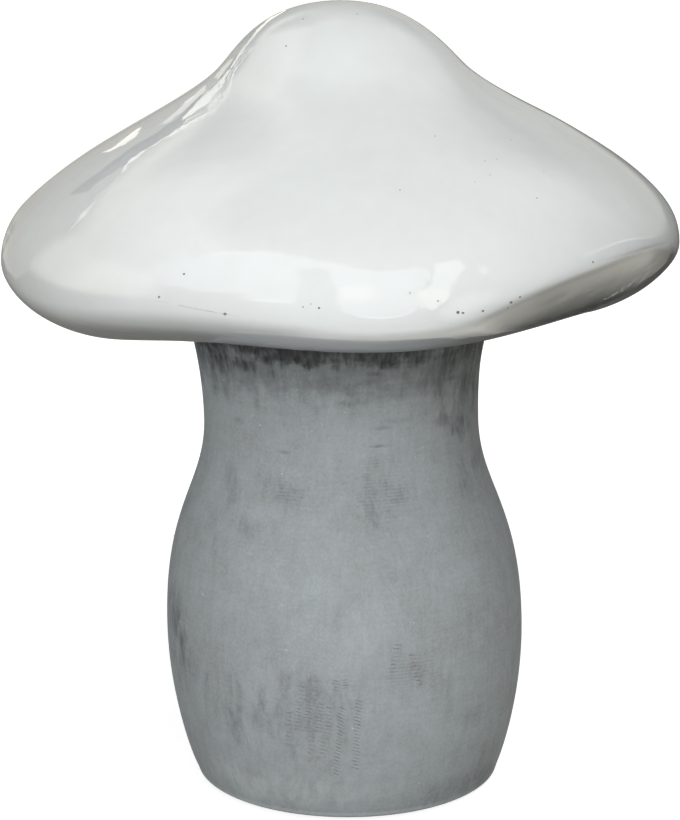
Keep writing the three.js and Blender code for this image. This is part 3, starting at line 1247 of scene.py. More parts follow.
    def _floor(self) -> None:
        """Lays a floor that shows white with the object's shadow, and gives back little light."""
        skin = open_skin([(0.0, -self.floor_drop), (self.floor_radius, -self.floor_drop)],
                         self.floor_segments)
        floor = skin.piece("floor")
        material = bpy.data.materials.new("pale_floor")
        bench = blank(material)
        lit = bench.node("ShaderNodeBsdfDiffuse", {"Color": opaque((self.floor_white,) * 3)})
        spot = bench.node("ShaderNodeTexCoord").outputs["Object"]
        away = bench.node("ShaderNodeVectorMath", {0: spot}, operation="LENGTH").outputs["Value"]
        shine = bench.ramp(away, self.floor_near, self.floor_far, self.floor_glow, 1.0)
        bright = bench.node("ShaderNodeEmission", {"Color": opaque(WHITE), "Strength": shine})
        white = bench.node("ShaderNodeAddShader", {0: lit.outputs[0], 1: bright.outputs[0]})
        dim = bench.node("ShaderNodeBsdfDiffuse", {"Color": opaque((self.floor_dim,) * 3)})
        seen = self._seen(bench)
        both = bench.node("ShaderNodeMixShader", {0: seen, 1: dim.outputs[0], 2: white.outputs[0]})
        bench.node("ShaderNodeOutputMaterial", {"Surface": both.outputs[0]})
        floor.data.materials.append(material)

    def _sky(self) -> None:
        """Sets a sky that is white to look at and gives a dim light all round."""
        world = bpy.data.worlds.new("soft_sky")
        bench = blank(world)
        strength = bench.blend(self._seen(bench), self.sky, 1.0)
        sky = bench.node("ShaderNodeBackground", {"Color": opaque(WHITE), "Strength": strength})
        bench.node("ShaderNodeOutputWorld", {"Surface": sky.outputs[0]})
        bpy.context.scene.world = world


def shader(name: str) -> tuple[bpy.types.Material, Bench, bpy.types.Node, Socket]:
    """Starts a finish.

    Args:
        name: The material's name.

    Returns:
        The material, its bench, its shader and the socket with the piece's own coordinates.
    """
    material = bpy.data.materials.new(name)
    bench = blank(material)
    main = bench.node("ShaderNodeBsdfPrincipled")
    bench.node("ShaderNodeOutputMaterial", {"Surface": main.outputs[0]})
    return material, bench, main, bench.node("ShaderNodeTexCoord").outputs["Object"]


@dataclass(frozen=True)
class WhiteGlaze:
    """Thick glossy white glaze, with bare clay where the cap sits and inside it, and painted shade on the
    pressed facets under the rim.
    """

    colour: Colour = (0.822, 0.857, 0.855)
    thin: Colour = (0.785, 0.81, 0.802)
    # pressed is the painted shade colour of the flat facets under the rim, which face down into shade
    pressed: Colour = (0.46, 0.465, 0.44)
    clay: Colour = (0.42, 0.40, 0.37)
    speck: Colour = (0.30, 0.30, 0.28)
    gloss: tuple[float, float] = (0.02, 0.05)
    gloss_size: float = 16 * MM
    matt: float = 0.85
    pool_size: float = 60 * MM
    pool_share: float = 0.7
    brush_size: float = 9 * MM
    dots: Dots = Dots(13 * MM, 0.35 * MM, 0.08, 0.7)
    grain: tuple[float, float] = (0.8, 1.1)
    grain_size: float = 3 * MM
    ripple_size: float = 22 * MM
    ripple_height: float = 0.10 * MM

    def make(self, effects: Effects) -> bpy.types.Material:
        """Makes the material.

        Args:
            effects: The shared surface effects.

        Returns:
            The material.
        """
        material, bench, main, spot = shader("white_glaze")
        pools = bench.math("MULTIPLY", effects.patches(bench, spot, self.pool_size), self.pool_share)
        brush = bench.math("MULTIPLY", effects.patches(bench, spot, self.brush_size), 1.0 - self.pool_share)
        thin, bare = (bench.noted(name) for name in ("thin", "bare"))
        white = bench.mix(bench.math("ADD", pools, brush), self.thin, self.colour)
        # painted shade: the pressed facets under the rim darken towards the pressed colour
        white = bench.mix(thin, white, self.pressed)
        dotted = bench.mix(effects.dots(bench, spot, self.dots), white, self.speck)
        clay = bench.mix(effects.patches(bench, spot, self.grain_size, *self.grain), BLACK, self.clay)
        gloss = effects.patches(bench, spot, self.gloss_size, *self.gloss)
        ripple = effects.patches(bench, spot, self.ripple_size)
        bump = bench.node("ShaderNodeBump", {"Height": ripple, "Distance": self.ripple_height})
        bench.feed(main, {
            "Base Color": bench.mix(bare, dotted, clay),
            "Roughness": bench.blend(bare, gloss, self.matt),
            "Normal": bump.outputs[0],
        })
        return material


@dataclass(frozen=True)
class Smudge:
    """A patch on the stem, where the photograph shows it, with its width and height in pixels.

    It is dark, or pale where its strength is below 0. A combed one is broken into lines, so many
    pixels apart.
    """

    pixel: Pixel
    width: float
    height: float
    strength: float
    rag: float = 1.0
    comb: float = 0.0


@dataclass(frozen=True)
class GreyStoneware:
    """Bare grey clay: mottled, scraped and smudged, with dark brushing and painted shade under the mouth.
    """

    colour: Colour = (0.442, 0.494, 0.514)
    shade: Colour = (0.31, 0.327, 0.333)
    # the dark of the brushing and of the painted shade under the mouth and in the dark smudges
    soot: Colour = (0.020, 0.021, 0.023)
    pale: Colour = (0.52, 0.56, 0.57)
    roughness: float = 0.88
    # the band under the mouth is dark brushing and painted shade under the cap: a soft haze and a darker
    # core
    haze_from: float = 206 * MM
    haze_to: float = 232 * MM
    haze: float = 0.52
    core: float = 1.0
    soot_from: float = 221 * MM
    soot_to: float = 240 * MM
    soot_rags: tuple[Layer, ...] = (
        Layer(5 * MM, 3 * MM, 0.2), Layer(14 * MM, 4.5 * MM, 1.8), Layer(2 * MM, 1.2 * MM, 0.2),
    )
    soot_brush: float = 2.4 * MM
    soot_least: float = 0.8
    soot_squeeze: float = 0.2
    edge_from: float = 3 * MM
    edge_to: float = 6.5 * MM
    edge_wear: float = 0.35
    mottling: tuple[Layer, ...] = (
        Layer(60 * MM, 0.11), Layer(18 * MM, 0.11), Layer(6 * MM, 0.09), Layer(16 * MM, 0.065, 10.0),
        Layer(3 * MM, 0.09, 0.12), Layer(1.3 * MM, 0.18),
    )
    dots: Dots = Dots(5 * MM, 0.4 * MM, 0.2, 0.3)
    smudge_depth: float = 60 * MM
    smudge_squeeze: float = 0.35
    smudge_rag: float = 0.45
    smudge_rag_size: float = 6 * MM
    smudge_brush: float = 1.8 * MM
    smudge_least: float = 0.5
    comb_waver: float = 1.2
    comb_gap: tuple[float, float] = (0.45, 0.95)
    grain_scale: float = 900.0
    grain_height: float = 0.12 * MM
    grain_strength: float = 0.6

    WAVE_SCALE: ClassVar[float] = 20.0

    def make(self, effects: Effects, marks: Sequence[tuple[Vector, Smudge]]) -> bpy.types.Material:
        """Makes the material.

        Args:
            effects: The shared surface effects.
            marks: The smudges and where they lie on the stem.

        Returns:
            The material.
        """
        material, bench, main, spot = shader("grey_stoneware")
        grey = self._smudged(bench, effects, spot, self._mottled(bench, effects, spot), marks)
        height = bench.node("ShaderNodeSeparateXYZ", {0: spot}).outputs[2]
        # brushing and painted shade darken the neck under the mouth
        grey = bench.mix(self._sooty(bench, effects, spot, height), grey, self.soot)
        worn = bench.ramp(height, self.edge_from, self.edge_to, self.edge_wear, 0.0)
        grain = bench.node("ShaderNodeTexNoise", {"Vector": spot, "Scale": self.grain_scale, "Detail": 4.0})
        bump = bench.node("ShaderNodeBump", {
            "Height": grain.outputs[0], "Distance": self.grain_height, "Strength": self.grain_strength})
        bench.feed(main, {
            "Base Color": bench.mix(worn, grey, self.pale),
            "Roughness": self.roughness,
            "Normal": bump.outputs[0],
        })
        return material

    def _mottled(self, bench: Bench, effects: Effects, spot: Socket) -> Socket:
        """Mixes the uneven grey of the clay.

        Args:
            bench: The material's bench.
            effects: The shared surface effects.
            spot: The piece's own coordinates.

        Returns:
            The socket with the colour.
        """
        tone = effects.layered(bench, spot, 0.5, self.mottling)
        grey = bench.mix(tone, self.shade, self.colour)
        return bench.mix(effects.dots(bench, spot, self.dots), grey, self.pale)

    def _smudged(self, bench: Bench, effects: Effects, spot: Socket, grey: Socket,
                 marks: Sequence[tuple[Vector, Smudge]]) -> Socket:
        """Lays the smudges on the grey.

        Args:
            bench: The material's bench.
            effects: The shared surface effects.
            spot: The piece's own coordinates.
            grey: The colour under them.
            marks: The smudges and where they lie.

        Returns:
            The socket with the colour.
        """
        upright = bench.squeezed(spot, self.smudge_squeeze)
        torn = effects.patches(bench, upright, self.smudge_rag_size, -self.smudge_rag, self.smudge_rag)
        brush = effects.patches(bench, upright, self.smudge_brush, self.smudge_least)
        for centre, mark in marks:
            reach = (mark.width * PIXEL / 2, self.smudge_depth, mark.height * PIXEL / 2)
            patch = {"Vector": spot, "Centre": centre, "Reach": reach, "Rag": mark.rag, "Torn": torn}
            mask = bench.group(effects.smudge, {**patch, "Brush": brush})
            if mark.comb:
                turns = 2 * math.pi / (self.WAVE_SCALE * mark.comb * PIXEL)
                waves = {"Vector": spot, "Scale": turns, "Distortion": self.comb_waver, "Detail": 1.0,
                         "Detail Scale": 0.4}
                lines = bench.node("ShaderNodeTexWave", waves, bands_direction="Z").outputs["Fac"]
                mask = bench.math("MULTIPLY", mask, bench.ramp(lines, *self.comb_gap))
            # dark smudges take the colour of the brushing and the painted shade
            ink = self.soot if mark.strength > 0.0 else self.pale
            grey = bench.mix(bench.math("MULTIPLY", mask, abs(mark.strength)), grey, ink)
        return grey

    def _sooty(self, bench: Bench, effects: Effects, spot: Socket, height: Socket) -> Socket:
        """Works out how dark the brushing and the painted shade under the mouth are.

        Args:
            bench: The material's bench.
            effects: The shared surface effects.
            spot: The piece's own coordinates.
            height: Their height.

        Returns:
            The socket with the share of soot and painted shade.
        """
        ragged = effects.layered(bench, spot, height, self.soot_rags)
        upright = bench.squeezed(spot, self.soot_squeeze)
        brush = effects.patches(bench, upright, self.soot_brush, self.soot_least)
        haze = bench.ramp(ragged, self.haze_from, self.haze_to, 0.0, self.haze)
        core = bench.ramp(ragged, self.soot_from, self.soot_to, 0.0, self.core)
        return bench.math("MULTIPLY", bench.math("MAXIMUM", haze, core), brush)


@dataclass(frozen=True)
class Fleck:
    """The finish of a small mark, uneven between two tones."""

    name: str
    low: Colour
    high: Colour
    roughness: float
    patch: float = 1.5 * MM

    def make(self, effects: Effects) -> bpy.types.Material:
        """Makes the material.

        Args:
            effects: The shared surface effects.

        Returns:
            The material.
        """
        material, bench, main, spot = shader(self.name)
        colour = bench.mix(effects.patches(bench, spot, self.patch), self.low, self.high)
        bench.feed(main, {"Base Color": colour, "Roughness": self.roughness})
        return material


@dataclass(frozen=True)
class Rubber:
    """Moulded rubber with a dull, faintly dusty skin."""

    name: str
    colour: Colour
    dust: Colour = (0.24, 0.24, 0.235)
    dust_size: float = 5 * MM
    dust_most: float = 0.25
    roughness: tuple[float, float] = (0.55, 0.8)
    wear_size: float = 4 * MM
    grain_size: float = 0.7 * MM
    grain_height: float = 0.05 * MM

    def make(self, effects: Effects) -> bpy.types.Material:
        """Makes the material.

        Args:
            effects: The shared surface effects.

        Returns:
            The material.
        """
        material, bench, main, spot = shader(self.name)
        dust = effects.patches(bench, spot, self.dust_size, high=self.dust_most)
        grain = effects.patches(bench, spot, self.grain_size)
        bump = bench.node("ShaderNodeBump", {"Height": grain, "Distance": self.grain_height})
        bench.feed(main, {
            "Base Color": bench.mix(dust, self.colour, self.dust),
            "Roughness": effects.patches(bench, spot, self.wear_size, *self.roughness),
            "Normal": bump.outputs[0],
        })
        return material


PALE_GRIT = Fleck("pale_grit", (0.50, 0.52, 0.51), (0.68, 0.69, 0.67), 0.8)
# scratch_shade colours the comb scratches with painted shade in their grooves
SCRATCH_SHADE = Fleck("scratch_shade", (0.18, 0.19, 0.195), (0.32, 0.34, 0.35), 0.9)
# the pinholes' dark is bare clay and painted shade inside the pits
PINHOLE_CLAY_AND_SHADE = Fleck("pinhole_clay_and_shade", (0.07, 0.066, 0.062), (0.28, 0.27, 0.25), 0.6)
# crease_shade draws the crease as a hairline of painted shade
CREASE_SHADE = Fleck("crease_shade", (0.36, 0.36, 0.34), (0.80, 0.80, 0.78), 0.3, 5 * MM)
BLACK_RUBBER = Rubber("black_rubber", (0.018, 0.018, 0.019))
GREY_RUBBER = Rubber("grey_rubber", (0.09, 0.09, 0.10))


@dataclass(frozen=True)
class Lens:
    """The least and the greatest size of small marks, along, across and through, and their seed."""

    least: Shape
    most: Shape
    seed: int

    def values(self, unit: float, material: bpy.types.Material) -> dict[str, object]:
        """Gives the inputs of the tree that lays the marks, with sizes that count in the unit."""
        least, most = (tuple(share * unit for share in size) for size in (self.least, self.most))
        return {"Least": least, "Most": most, "Seed": self.seed, "Material": material}


@dataclass(frozen=True)
class Lumps:
    """The unevenness of hand shaping: how far apart lumps are, how high, and what shifts their pattern."""

    size: float
    height: float
    shift: float

    def amounts(self, skin: Skin) -> np.ndarray:
        """Works out how far each point of a skin rises or falls."""
        start = Vector((self.shift,) * 3)
        return np.array([self.height * noise.noise(Vector(p) / self.size + start) for p in skin.points])


@dataclass(frozen=True)
class Swell:
    """A broad push out of a skin, or a dent, where the photograph shows it."""

    pixel: Pixel
    reach: float
    height: float

    def amounts(self, skin: Skin, camera: PhotoCamera, surface: Surface) -> np.ndarray:
        """Works out how far the swell pushes each point.

        Args:
            skin: The skin that swells.
            camera: Finds the middle of the swell.
            surface: The skin's surface.

        Returns:
            One distance for each point.
        """
        centre = np.array(camera.touch(surface, self.pixel)[0])
        away = np.linalg.norm(skin.points - centre, axis=1) / self.reach
        return self.height * np.exp(-away * away)


@dataclass
class Stem:
    """The hollow stem: a flat foot, a belly, a neck and a flared mouth, leaning a little to one side."""

    foot_height: float = 2.3 * MM
    height: float = 256.4 * MM
    wall: float = 9 * MM
    floor: float = 10 * MM
    drain_radius: float = 12 * MM
    foot_radius: float = 79.3 * MM
    foot_round: float = 3 * MM
    foot_flare: float = 4.6 * MM
    foot_rise: float = 9 * MM
    belly_radius: float = 92.9 * MM
    belly_height: float = 78.5 * MM
    belly_below: float = 34 * MM
    belly_above: float = 64.5 * MM
    neck_radius: float = 70.1 * MM
    neck_height: float = 189.5 * MM
    neck_below: float = 38 * MM
    neck_above: float = 42 * MM
    mouth_flare: float = 12.5 * MM
    mouth_rise: float = 7 * MM
    mouth_round: float = 2.5 * MM
    socket_depth: float = 38 * MM
    foot_shift: float = 4.4 * MM
    segments: int = 288
    true_foot: tuple[float, float] = (1 * MM, 8 * MM)
    true_mouth: tuple[float, float] = (238 * MM, 250 * MM)
    lumps: tuple[Lumps, ...] = (Lumps(55 * MM, 0.35 * MM, 3.1),)
    grit: Lens = Lens((0.18,) * 3, (0.5,) * 3, 4)
    grit_density: float = 500.0
    grain: Lens = Lens((0.8, 0.6, 0.3), (1.2, 1.0, 0.5), 8)
    grain_size: float = 0.55 * MM
    scratch: Lens = Lens((0.7, 0.09, 0.01), (1.1, 0.15, 0.02), 2)
    swells: tuple[Swell, ...] = (Swell((478, 440), 45 * MM, 0.9 * MM),)
    # the dark smudges at the top of the neck and down its right side are stains and painted shade under the
    # cap
    smudges: tuple[Smudge, ...] = (
        Smudge((318, 353), 170, 22, 0.75), Smudge((212, 356), 56, 36, 0.7),
        Smudge((436, 370), 44, 50, 0.32), Smudge((335, 355), 84, 14, 0.5),
        Smudge((466, 392), 46, 110, 0.52), Smudge((440, 380), 34, 60, 0.44),
        Smudge((470, 368), 22, 50, 0.3), Smudge((214, 380), 12, 50, 0.3),
        Smudge((229, 378), 10, 44, 0.25), Smudge((250, 385), 14, 40, 0.16),
        Smudge((375, 374), 20, 7, 0.6, 0.4), Smudge((452, 378), 16, 8, 0.6, 0.4),
        Smudge((380, 446), 30, 5, 0.4, 0.4), Smudge((284, 452), 18, 5, 0.35, 0.4),
        Smudge((383, 428), 26, 6, 0.34, 0.4), Smudge((350, 405), 16, 11, 0.36),
        Smudge((395, 421), 40, 7, 0.22, 0.6), Smudge((424, 413), 22, 16, 0.3),
        Smudge((440, 421), 26, 14, 0.36), Smudge((458, 424), 20, 24, 0.36),
        Smudge((240, 420), 12, 9, 0.26), Smudge((232, 484), 18, 60, 0.3),
        Smudge((268, 482), 30, 22, 0.2), Smudge((287, 499), 56, 34, 0.2),
        Smudge((285, 497), 50, 30, 0.2, 1.0, 3.4), Smudge((385, 494), 60, 84, 0.22),
        Smudge((385, 490), 56, 70, 0.2, 1.0, 3.4), Smudge((377, 516), 30, 28, 0.24),
        Smudge((252, 530), 30, 20, 0.24), Smudge((465, 482), 18, 50, 0.26),
        Smudge((475, 462), 14, 24, 0.3), Smudge((176, 622), 24, 80, 0.46),
        Smudge((182, 655), 20, 70, 0.3), Smudge((195, 668), 28, 40, 0.2),
        Smudge((292, 722), 130, 110, 0.24), Smudge((320, 690), 90, 40, 0.18),
        Smudge((410, 665), 80, 70, 0.14), Smudge((410, 668), 70, 56, 0.14, 1.0, 3.6),
        Smudge((440, 794), 110, 34, 0.3), Smudge((484, 770), 40, 70, 0.3),
        Smudge((232, 720), 40, 70, 0.14), Smudge((468, 715), 30, 26, 0.16),
        Smudge((338, 620), 16, 50, 0.12), Smudge((300, 560), 60, 60, 0.08),
        Smudge((258, 784), 150, 44, -0.75), Smudge((350, 794), 140, 34, -0.5),
        Smudge((330, 440), 90, 60, -0.25), Smudge((330, 560), 120, 120, -0.2),
        Smudge((360, 640), 70, 90, -0.2), Smudge((232, 706), 14, 100, 0.2),
        Smudge((262, 724), 12, 90, 0.16), Smudge((206, 690), 10, 70, 0.18),
        Smudge((214, 530), 10, 60, 0.12), Smudge((470, 640), 12, 90, 0.12),
        Smudge((448, 700), 14, 80, 0.12), Smudge((512, 690), 14, 90, 0.2),
    )
    combs: tuple[Comb, ...] = (
        Comb((359, 701), (355, 768), 21, 9.0, -22.0), Comb((342, 708), (336, 774), 21, 9.5, -27.0),
        Comb((303, 687), (303, 699), 4, 9.0, -14.0), Comb((314, 687), (314, 699), 4, 8.0, -10.0),
        Comb((336, 681), (336, 690), 4, 9.0, -8.0), Comb((345, 680), (345, 688), 4, 8.0, 6.0),
        Comb((299, 702), (297, 729), 9, 9.0, -8.0), Comb((309, 702), (307, 731), 10, 9.5, -9.0),
        Comb((320, 704), (318, 731), 9, 9.5, -11.0), Comb((329, 708), (327, 733), 8, 9.0, -14.0),
        Comb((290, 713), (288, 744), 9, 7.0, -6.0), Comb((312, 737), (310, 753), 5, 8.0, -12.0),
        Comb((324, 739), (322, 753), 5, 8.0, -14.0), Comb((398, 645), (392, 672), 8, 9.0, -4.0),
        Comb((412, 655), (420, 684), 9, 10.0, -4.0),
    )
    grains: tuple[Mark, ...] = (
        Mark((282, 474)), Mark((282, 605)), Mark((203, 594), 1.2), Mark((428, 536)),
        Mark((460, 556), 0.9), Mark((345, 412), 1.1), Mark((260, 425)), Mark((415, 457), 0.9),
        Mark((286, 650)), Mark((478, 768), 0.9), Mark((303, 419), 0.8), Mark((312, 431), 0.9),
        Mark((322, 424), 0.7), Mark((329, 438), 0.8),
    )

    def outline(self) -> tuple[list[tuple[float, float]], int]:
        """Draws the outside from the drain hole to the mouth, then the inside back down.

        Returns:
            The closed outline, and how many of its points are outside.
        """
        mouth = self.neck_radius + self.mouth_flare
        socket = self.neck_radius - self.wall
        belly = self.belly_radius - self.wall
        foot, top = self.foot_radius, self.height
        path = Outline(self.drain_radius, 0.0)
        path.line(foot - self.foot_round, 0.0, 6)
        path.curve((foot, 0.0), (foot, self.foot_round), steps=6)
        path.curve(
            (foot + self.foot_flare, self.foot_round + self.foot_rise),
            (self.belly_radius, self.belly_height - self.belly_below),
            (self.belly_radius, self.belly_height), steps=56,
        )
        path.curve(
            (self.belly_radius, self.belly_height + self.belly_above),
            (self.neck_radius, self.neck_height - self.neck_below),
            (self.neck_radius, self.neck_height), steps=72,
        )
        path.curve(
            (self.neck_radius, self.neck_height + self.neck_above),
            (mouth - self.mouth_round, top - self.mouth_round - self.mouth_rise),
            (mouth, top - self.mouth_round), steps=44,
        )
        path.curve((mouth, top), (mouth - self.mouth_round, top), steps=5)
        outside = len(path.points)
        path.line(socket + self.mouth_round, top, 3)
        path.curve((socket, top), (socket, top - self.mouth_round), steps=5)
        path.line(socket, top - self.socket_depth, 6).line(socket, self.neck_height, 6)
        path.curve(
            (socket, self.neck_height - self.neck_below),
            (belly, self.belly_height + self.belly_above),
            (belly, self.belly_height), steps=20,
        )
        path.curve(
            (belly, self.belly_height - self.belly_below),
            (foot - self.wall, self.floor + self.foot_round), steps=14,
        )
        inside = foot - self.wall
        path.curve((inside, self.floor), (inside - self.foot_round, self.floor), steps=4)
        path.line(self.drain_radius, self.floor, 6)
        return path.points, outside

    def skin(self, camera: PhotoCamera) -> tuple[Skin, np.ndarray]:
        """Shapes the stem.

        Args:
            camera: Finds the places of the swells.

        Returns:
            The finished skin, in place, and which points lie on the outside above the foot.
        """
        outline, outside = self.outline()
        skin = Skin(outline, self.segments)
        straight_from = self.height - self.socket_depth
        skin.points[:, 0] += self.foot_shift * np.maximum(0.0, 1.0 - skin.points[:, 2] / straight_from)
        uneven = ease(skin.points[:, 2], *self.true_foot) * (1 - ease(skin.points[:, 2], *self.true_mouth))
        shown = uneven * (np.array(skin.ring_of) < outside)
        skin.points[:, 2] += self.foot_height
        surface = Surface(skin)
        amounts = sum(lumps.amounts(skin) for lumps in self.lumps)
        amounts += sum(swell.amounts(skin, camera, surface) for swell in self.swells)
        skin.push(shown * amounts)
        return skin, (shown > 0.5).astype(float)

    def build(self, camera: PhotoCamera, effects: Effects, growth: Growth) -> None:
        """Builds and dresses the stem.

        Args:
            camera: Finds the places of the marks.
            effects: The shared surface effects.
            growth: The trees that lay grit and scratches.
        """
        skin, outside = self.skin(camera)
        surface = Surface(skin)
        marks = [(camera.touch(surface, mark.pixel)[0], mark) for mark in self.smudges]
        piece = skin.piece("stem_clay")
        note(piece.data, "outside", outside)
        piece.data.materials.append(GreyStoneware().make(effects, marks))
        pale = PALE_GRIT.make(effects)
        spread = {"Density": self.grit_density, **self.grit.values(MM, pale)}
        grit = growth.grit.grow(piece, "stem_grit", spread)
        places = carrier(camera, surface, self.grains)
        grains = growth.marks.lay(places, "stem_grains", self.grain.values(self.grain_size, pale))
        places = carrier(camera, surface, [tick for comb in self.combs for tick in comb.marks()])
        # the scratches' dark slivers are painted shade in the comb grooves
        shades = self.scratch.values(PIXEL / 2, SCRATCH_SHADE.make(effects))
        scratches = growth.marks.lay(places, "stem_comb_scratches", shades)
        fit(piece, Body.STEM, ("stem",))
        for extra in (grit, grains, scratches):
            fit(extra, Body.STEM)


@dataclass(frozen=True)
class Facet:
    """A flat place on the rim, where the soft clay once rested on something."""

    azimuth: float
    elevation: float
    depth: float
    blend: float

    def press(self, skin: Skin, chosen: np.ndarray, behind: np.ndarray, wall: float) -> np.ndarray:
        """Presses the skin flat, and the inner wall with it.

        Args:
            skin: The skin to press.
            chosen: Which points lie on the outside.
            behind: Which points lie on the inner wall.
            wall: How far behind the flat the inner wall stays.

        Returns:
            How far each point of the outside was pressed in.
        """
        out = np.array(direction(self.azimuth, self.elevation))
        reach = skin.points @ out
        flat = reach[chosen].max() - self.depth
        past = reach - np.where(chosen, flat, flat - wall)
        moved = past + self.blend * np.log1p(np.exp(-past / self.blend))
        skin.points -= np.where(chosen | behind, moved, 0.0)[:, None] * out
        return np.where(chosen, moved, 0.0)


@dataclass(frozen=True)
class Wave:
    """One wave of the lip: how many crests go round, how high they are and where one stands."""

    lobes: int
    height: float
    crest: float


@dataclass(frozen=True)
class Sag:
    """A stretch of the rim that hangs low: its azimuth, how far it spreads and how deep it hangs."""

    azimuth: float
    spread: float
    depth: float

    def share(self, turn: np.ndarray) -> np.ndarray:
        """Works out how deep the rim hangs at each azimuth."""
        return self.depth * np.exp(-(((turn - self.azimuth) / self.spread) ** 2))


@dataclass
class Cap:
    """The hollow cap: a crown, a waist, a broad waving rim and a collar that drops into the stem."""

    seat_height: float = 262.3 * MM
    height: float = 139.9 * MM
    wall: float = 8 * MM
    crown_reach: float = 40 * MM
    waist_radius: float = 64 * MM
    waist_height: float = 105.4 * MM
    waist_slope: float = math.radians(40.6)
    waist_above: float = 15 * MM
    waist_below: float = 36 * MM
    rim_radius: float = 170.2 * MM
    rim_height: float = 18 * MM
    rim_above: float = 38.2 * MM
    rim_below: float = 15.7 * MM
    lip_radius: float = 123.3 * MM
    lip_drop: float = 13.3 * MM
    lip_reach: float = 9 * MM
    dish_reach: float = 14 * MM
    seat_radius: float = 85.6 * MM
    collar_radius: float = 59.6 * MM
    collar_bore: float = 51.6 * MM
    collar_depth: float = 28 * MM
    collar_round: float = 2 * MM
    tilt: float = 0.025
    rim_shift: float = 0.3 * MM
    waist_shift: float = 0.6 * MM
    crown_shift: float = -1.7 * MM
    sag_above: float = 60 * MM
    sags: tuple[Sag, ...] = (
        Sag(math.radians(8), math.radians(22), 10 * MM),
        Sag(math.radians(-52), math.radians(20), 6.5 * MM),
    )
    segments: int = 320
    waves: tuple[Wave, ...] = (
        Wave(1, 2.3 * MM, math.radians(204)),
        Wave(2, 5.1 * MM, math.radians(107)),
        Wave(3, 1.8 * MM, math.radians(100)),
        Wave(4, 2.5 * MM, math.radians(60)),
    )
    facets: tuple[Facet, ...] = (
        Facet(47.0, -43.0, 7.0 * MM, 1.7 * MM), Facet(57.0, -36.5, 5.0 * MM, 1.7 * MM),
    )
    facet_wall: float = 0.6
    # how deep a facet is pressed before its painted shade starts, and where it is full
    thin_from: float = 0.2 * MM
    thin_to: float = 2 * MM
    true_rings: int = 10
    bare_rings: tuple[int, int] = (-1, 3)
    lumps: tuple[Lumps, ...] = (Lumps(70 * MM, 0.35 * MM, 7.7), Lumps(24 * MM, 0.08 * MM, 1.3))
    pinhole: Lens = Lens((0.9, 0.7, 0.07), (1.2, 0.9, 0.1), 5)
    pinhole_size: float = 0.7 * MM
    crease_width: float = 0.26 * MM
    crease_step: float = 3.0
    pinholes: tuple[Mark, ...] = (
        Mark((458, 312.5), 1.2), Mark((463, 313), 0.9), Mark((483, 311)), Mark((511, 302.5), 1.1),
        Mark((508, 308), 0.6), Mark((520, 297), 0.9), Mark((593, 262), 0.8), Mark((184, 274), 0.8),
        Mark((159, 297), 0.9), Mark((319, 308), 0.7), Mark((303, 307), 0.5), Mark((311, 304), 0.4),
        Mark((438, 301), 0.6), Mark((410, 293), 0.5), Mark((225, 314), 1.0), Mark((303, 19), 0.7),
        Mark((357, 14), 0.6), Mark((286, 46), 0.7), Mark((400, 190), 0.5), Mark((435, 136), 0.45),
        Mark((475, 182), 0.4), Mark((485, 161), 0.45), Mark((490, 175), 0.4), Mark((497, 159), 0.45),
        Mark((511, 140), 0.4), Mark((544, 171), 0.4), Mark((537, 198), 0.5),
    )
    crease: tuple[Pixel, ...] = (
        (143, 299.5), (165, 302), (185, 306.5), (200, 309.5), (225, 314), (247, 317.5),
    )
    swells: tuple[Swell, ...] = (
        Swell((492, 90), 16 * MM, -1.0 * MM),
        Swell((556, 120), 18 * MM, 0.7 * MM),
        Swell((6, 238), 9 * MM, -0.6 * MM),
        Swell((675, 212), 15 * MM, 0.5 * MM),
        Swell((16, 212), 15 * MM, 0.75 * MM),
    )

    def outline(self) -> tuple[list[tuple[float, float]], int, int]:
        """Draws the outside from the collar to the crown, then the inside back down.

        Returns:
            The closed outline, the number of its point where the glaze starts, and how many are outside.
        """
        across, up = math.cos(self.waist_slope), math.sin(self.waist_slope)
        waist, high = (self.waist_radius, self.waist_height), self.height
        lip, drop = self.lip_radius, self.lip_drop
        path = Outline(self.collar_bore, self.collar_round - self.collar_depth)
        path.curve((self.collar_bore, -self.collar_depth),
                   (self.collar_bore + self.collar_round, -self.collar_depth), steps=4)
        path.line(self.collar_radius - self.collar_round, -self.collar_depth)
        path.curve((self.collar_radius, -self.collar_depth),
                   (self.collar_radius, self.collar_round - self.collar_depth), steps=4)
        path.line(self.collar_radius, 0.0, 6).line(self.seat_radius, 0.0, 6)
        glazed = len(path.points)
        path.curve((self.seat_radius + self.dish_reach, 0.0), (lip - self.dish_reach, -drop), (lip, -drop),
                   steps=16)
        path.curve((lip + self.lip_reach, -drop), (self.rim_radius, self.rim_height - self.rim_below),
                   (self.rim_radius, self.rim_height), steps=40)
        path.curve((self.rim_radius, self.rim_height + self.rim_above),
                   (waist[0] + self.waist_below * across, waist[1] - self.waist_below * up), waist,
                   steps=64)
        path.curve((waist[0] - self.waist_above * across, waist[1] + self.waist_above * up),
                   (self.crown_reach, high), (0.0, high), steps=40)
        outside = len(path.points)
        inner = (waist[0] - self.wall * up, waist[1] - self.wall * across)
        rim, low = self.rim_radius - self.wall, self.wall - drop
        path.line(0.0, high - self.wall)
        path.curve((self.crown_reach, high - self.wall),
                   (inner[0] - self.waist_above * across, inner[1] + self.waist_above * up), inner, steps=8)
        path.curve((inner[0] + self.waist_below * across, inner[1] - self.waist_below * up),
                   (rim, self.rim_height + self.rim_above), (rim, self.rim_height), steps=12)
        path.curve((rim, low), (lip, low), steps=8)
        path.curve((lip - self.dish_reach, low), (self.seat_radius + self.dish_reach, self.wall),
                   (self.seat_radius, self.wall), steps=6)
        path.line(self.collar_bore, self.wall, 2)
        return path.points, glazed, outside

    def wave(self, angle: np.ndarray) -> np.ndarray:
        """Works out the height of the waving lip at each angle round the cap."""
        return sum(wave.height * np.cos(wave.lobes * (angle - wave.crest)) for wave in self.waves)

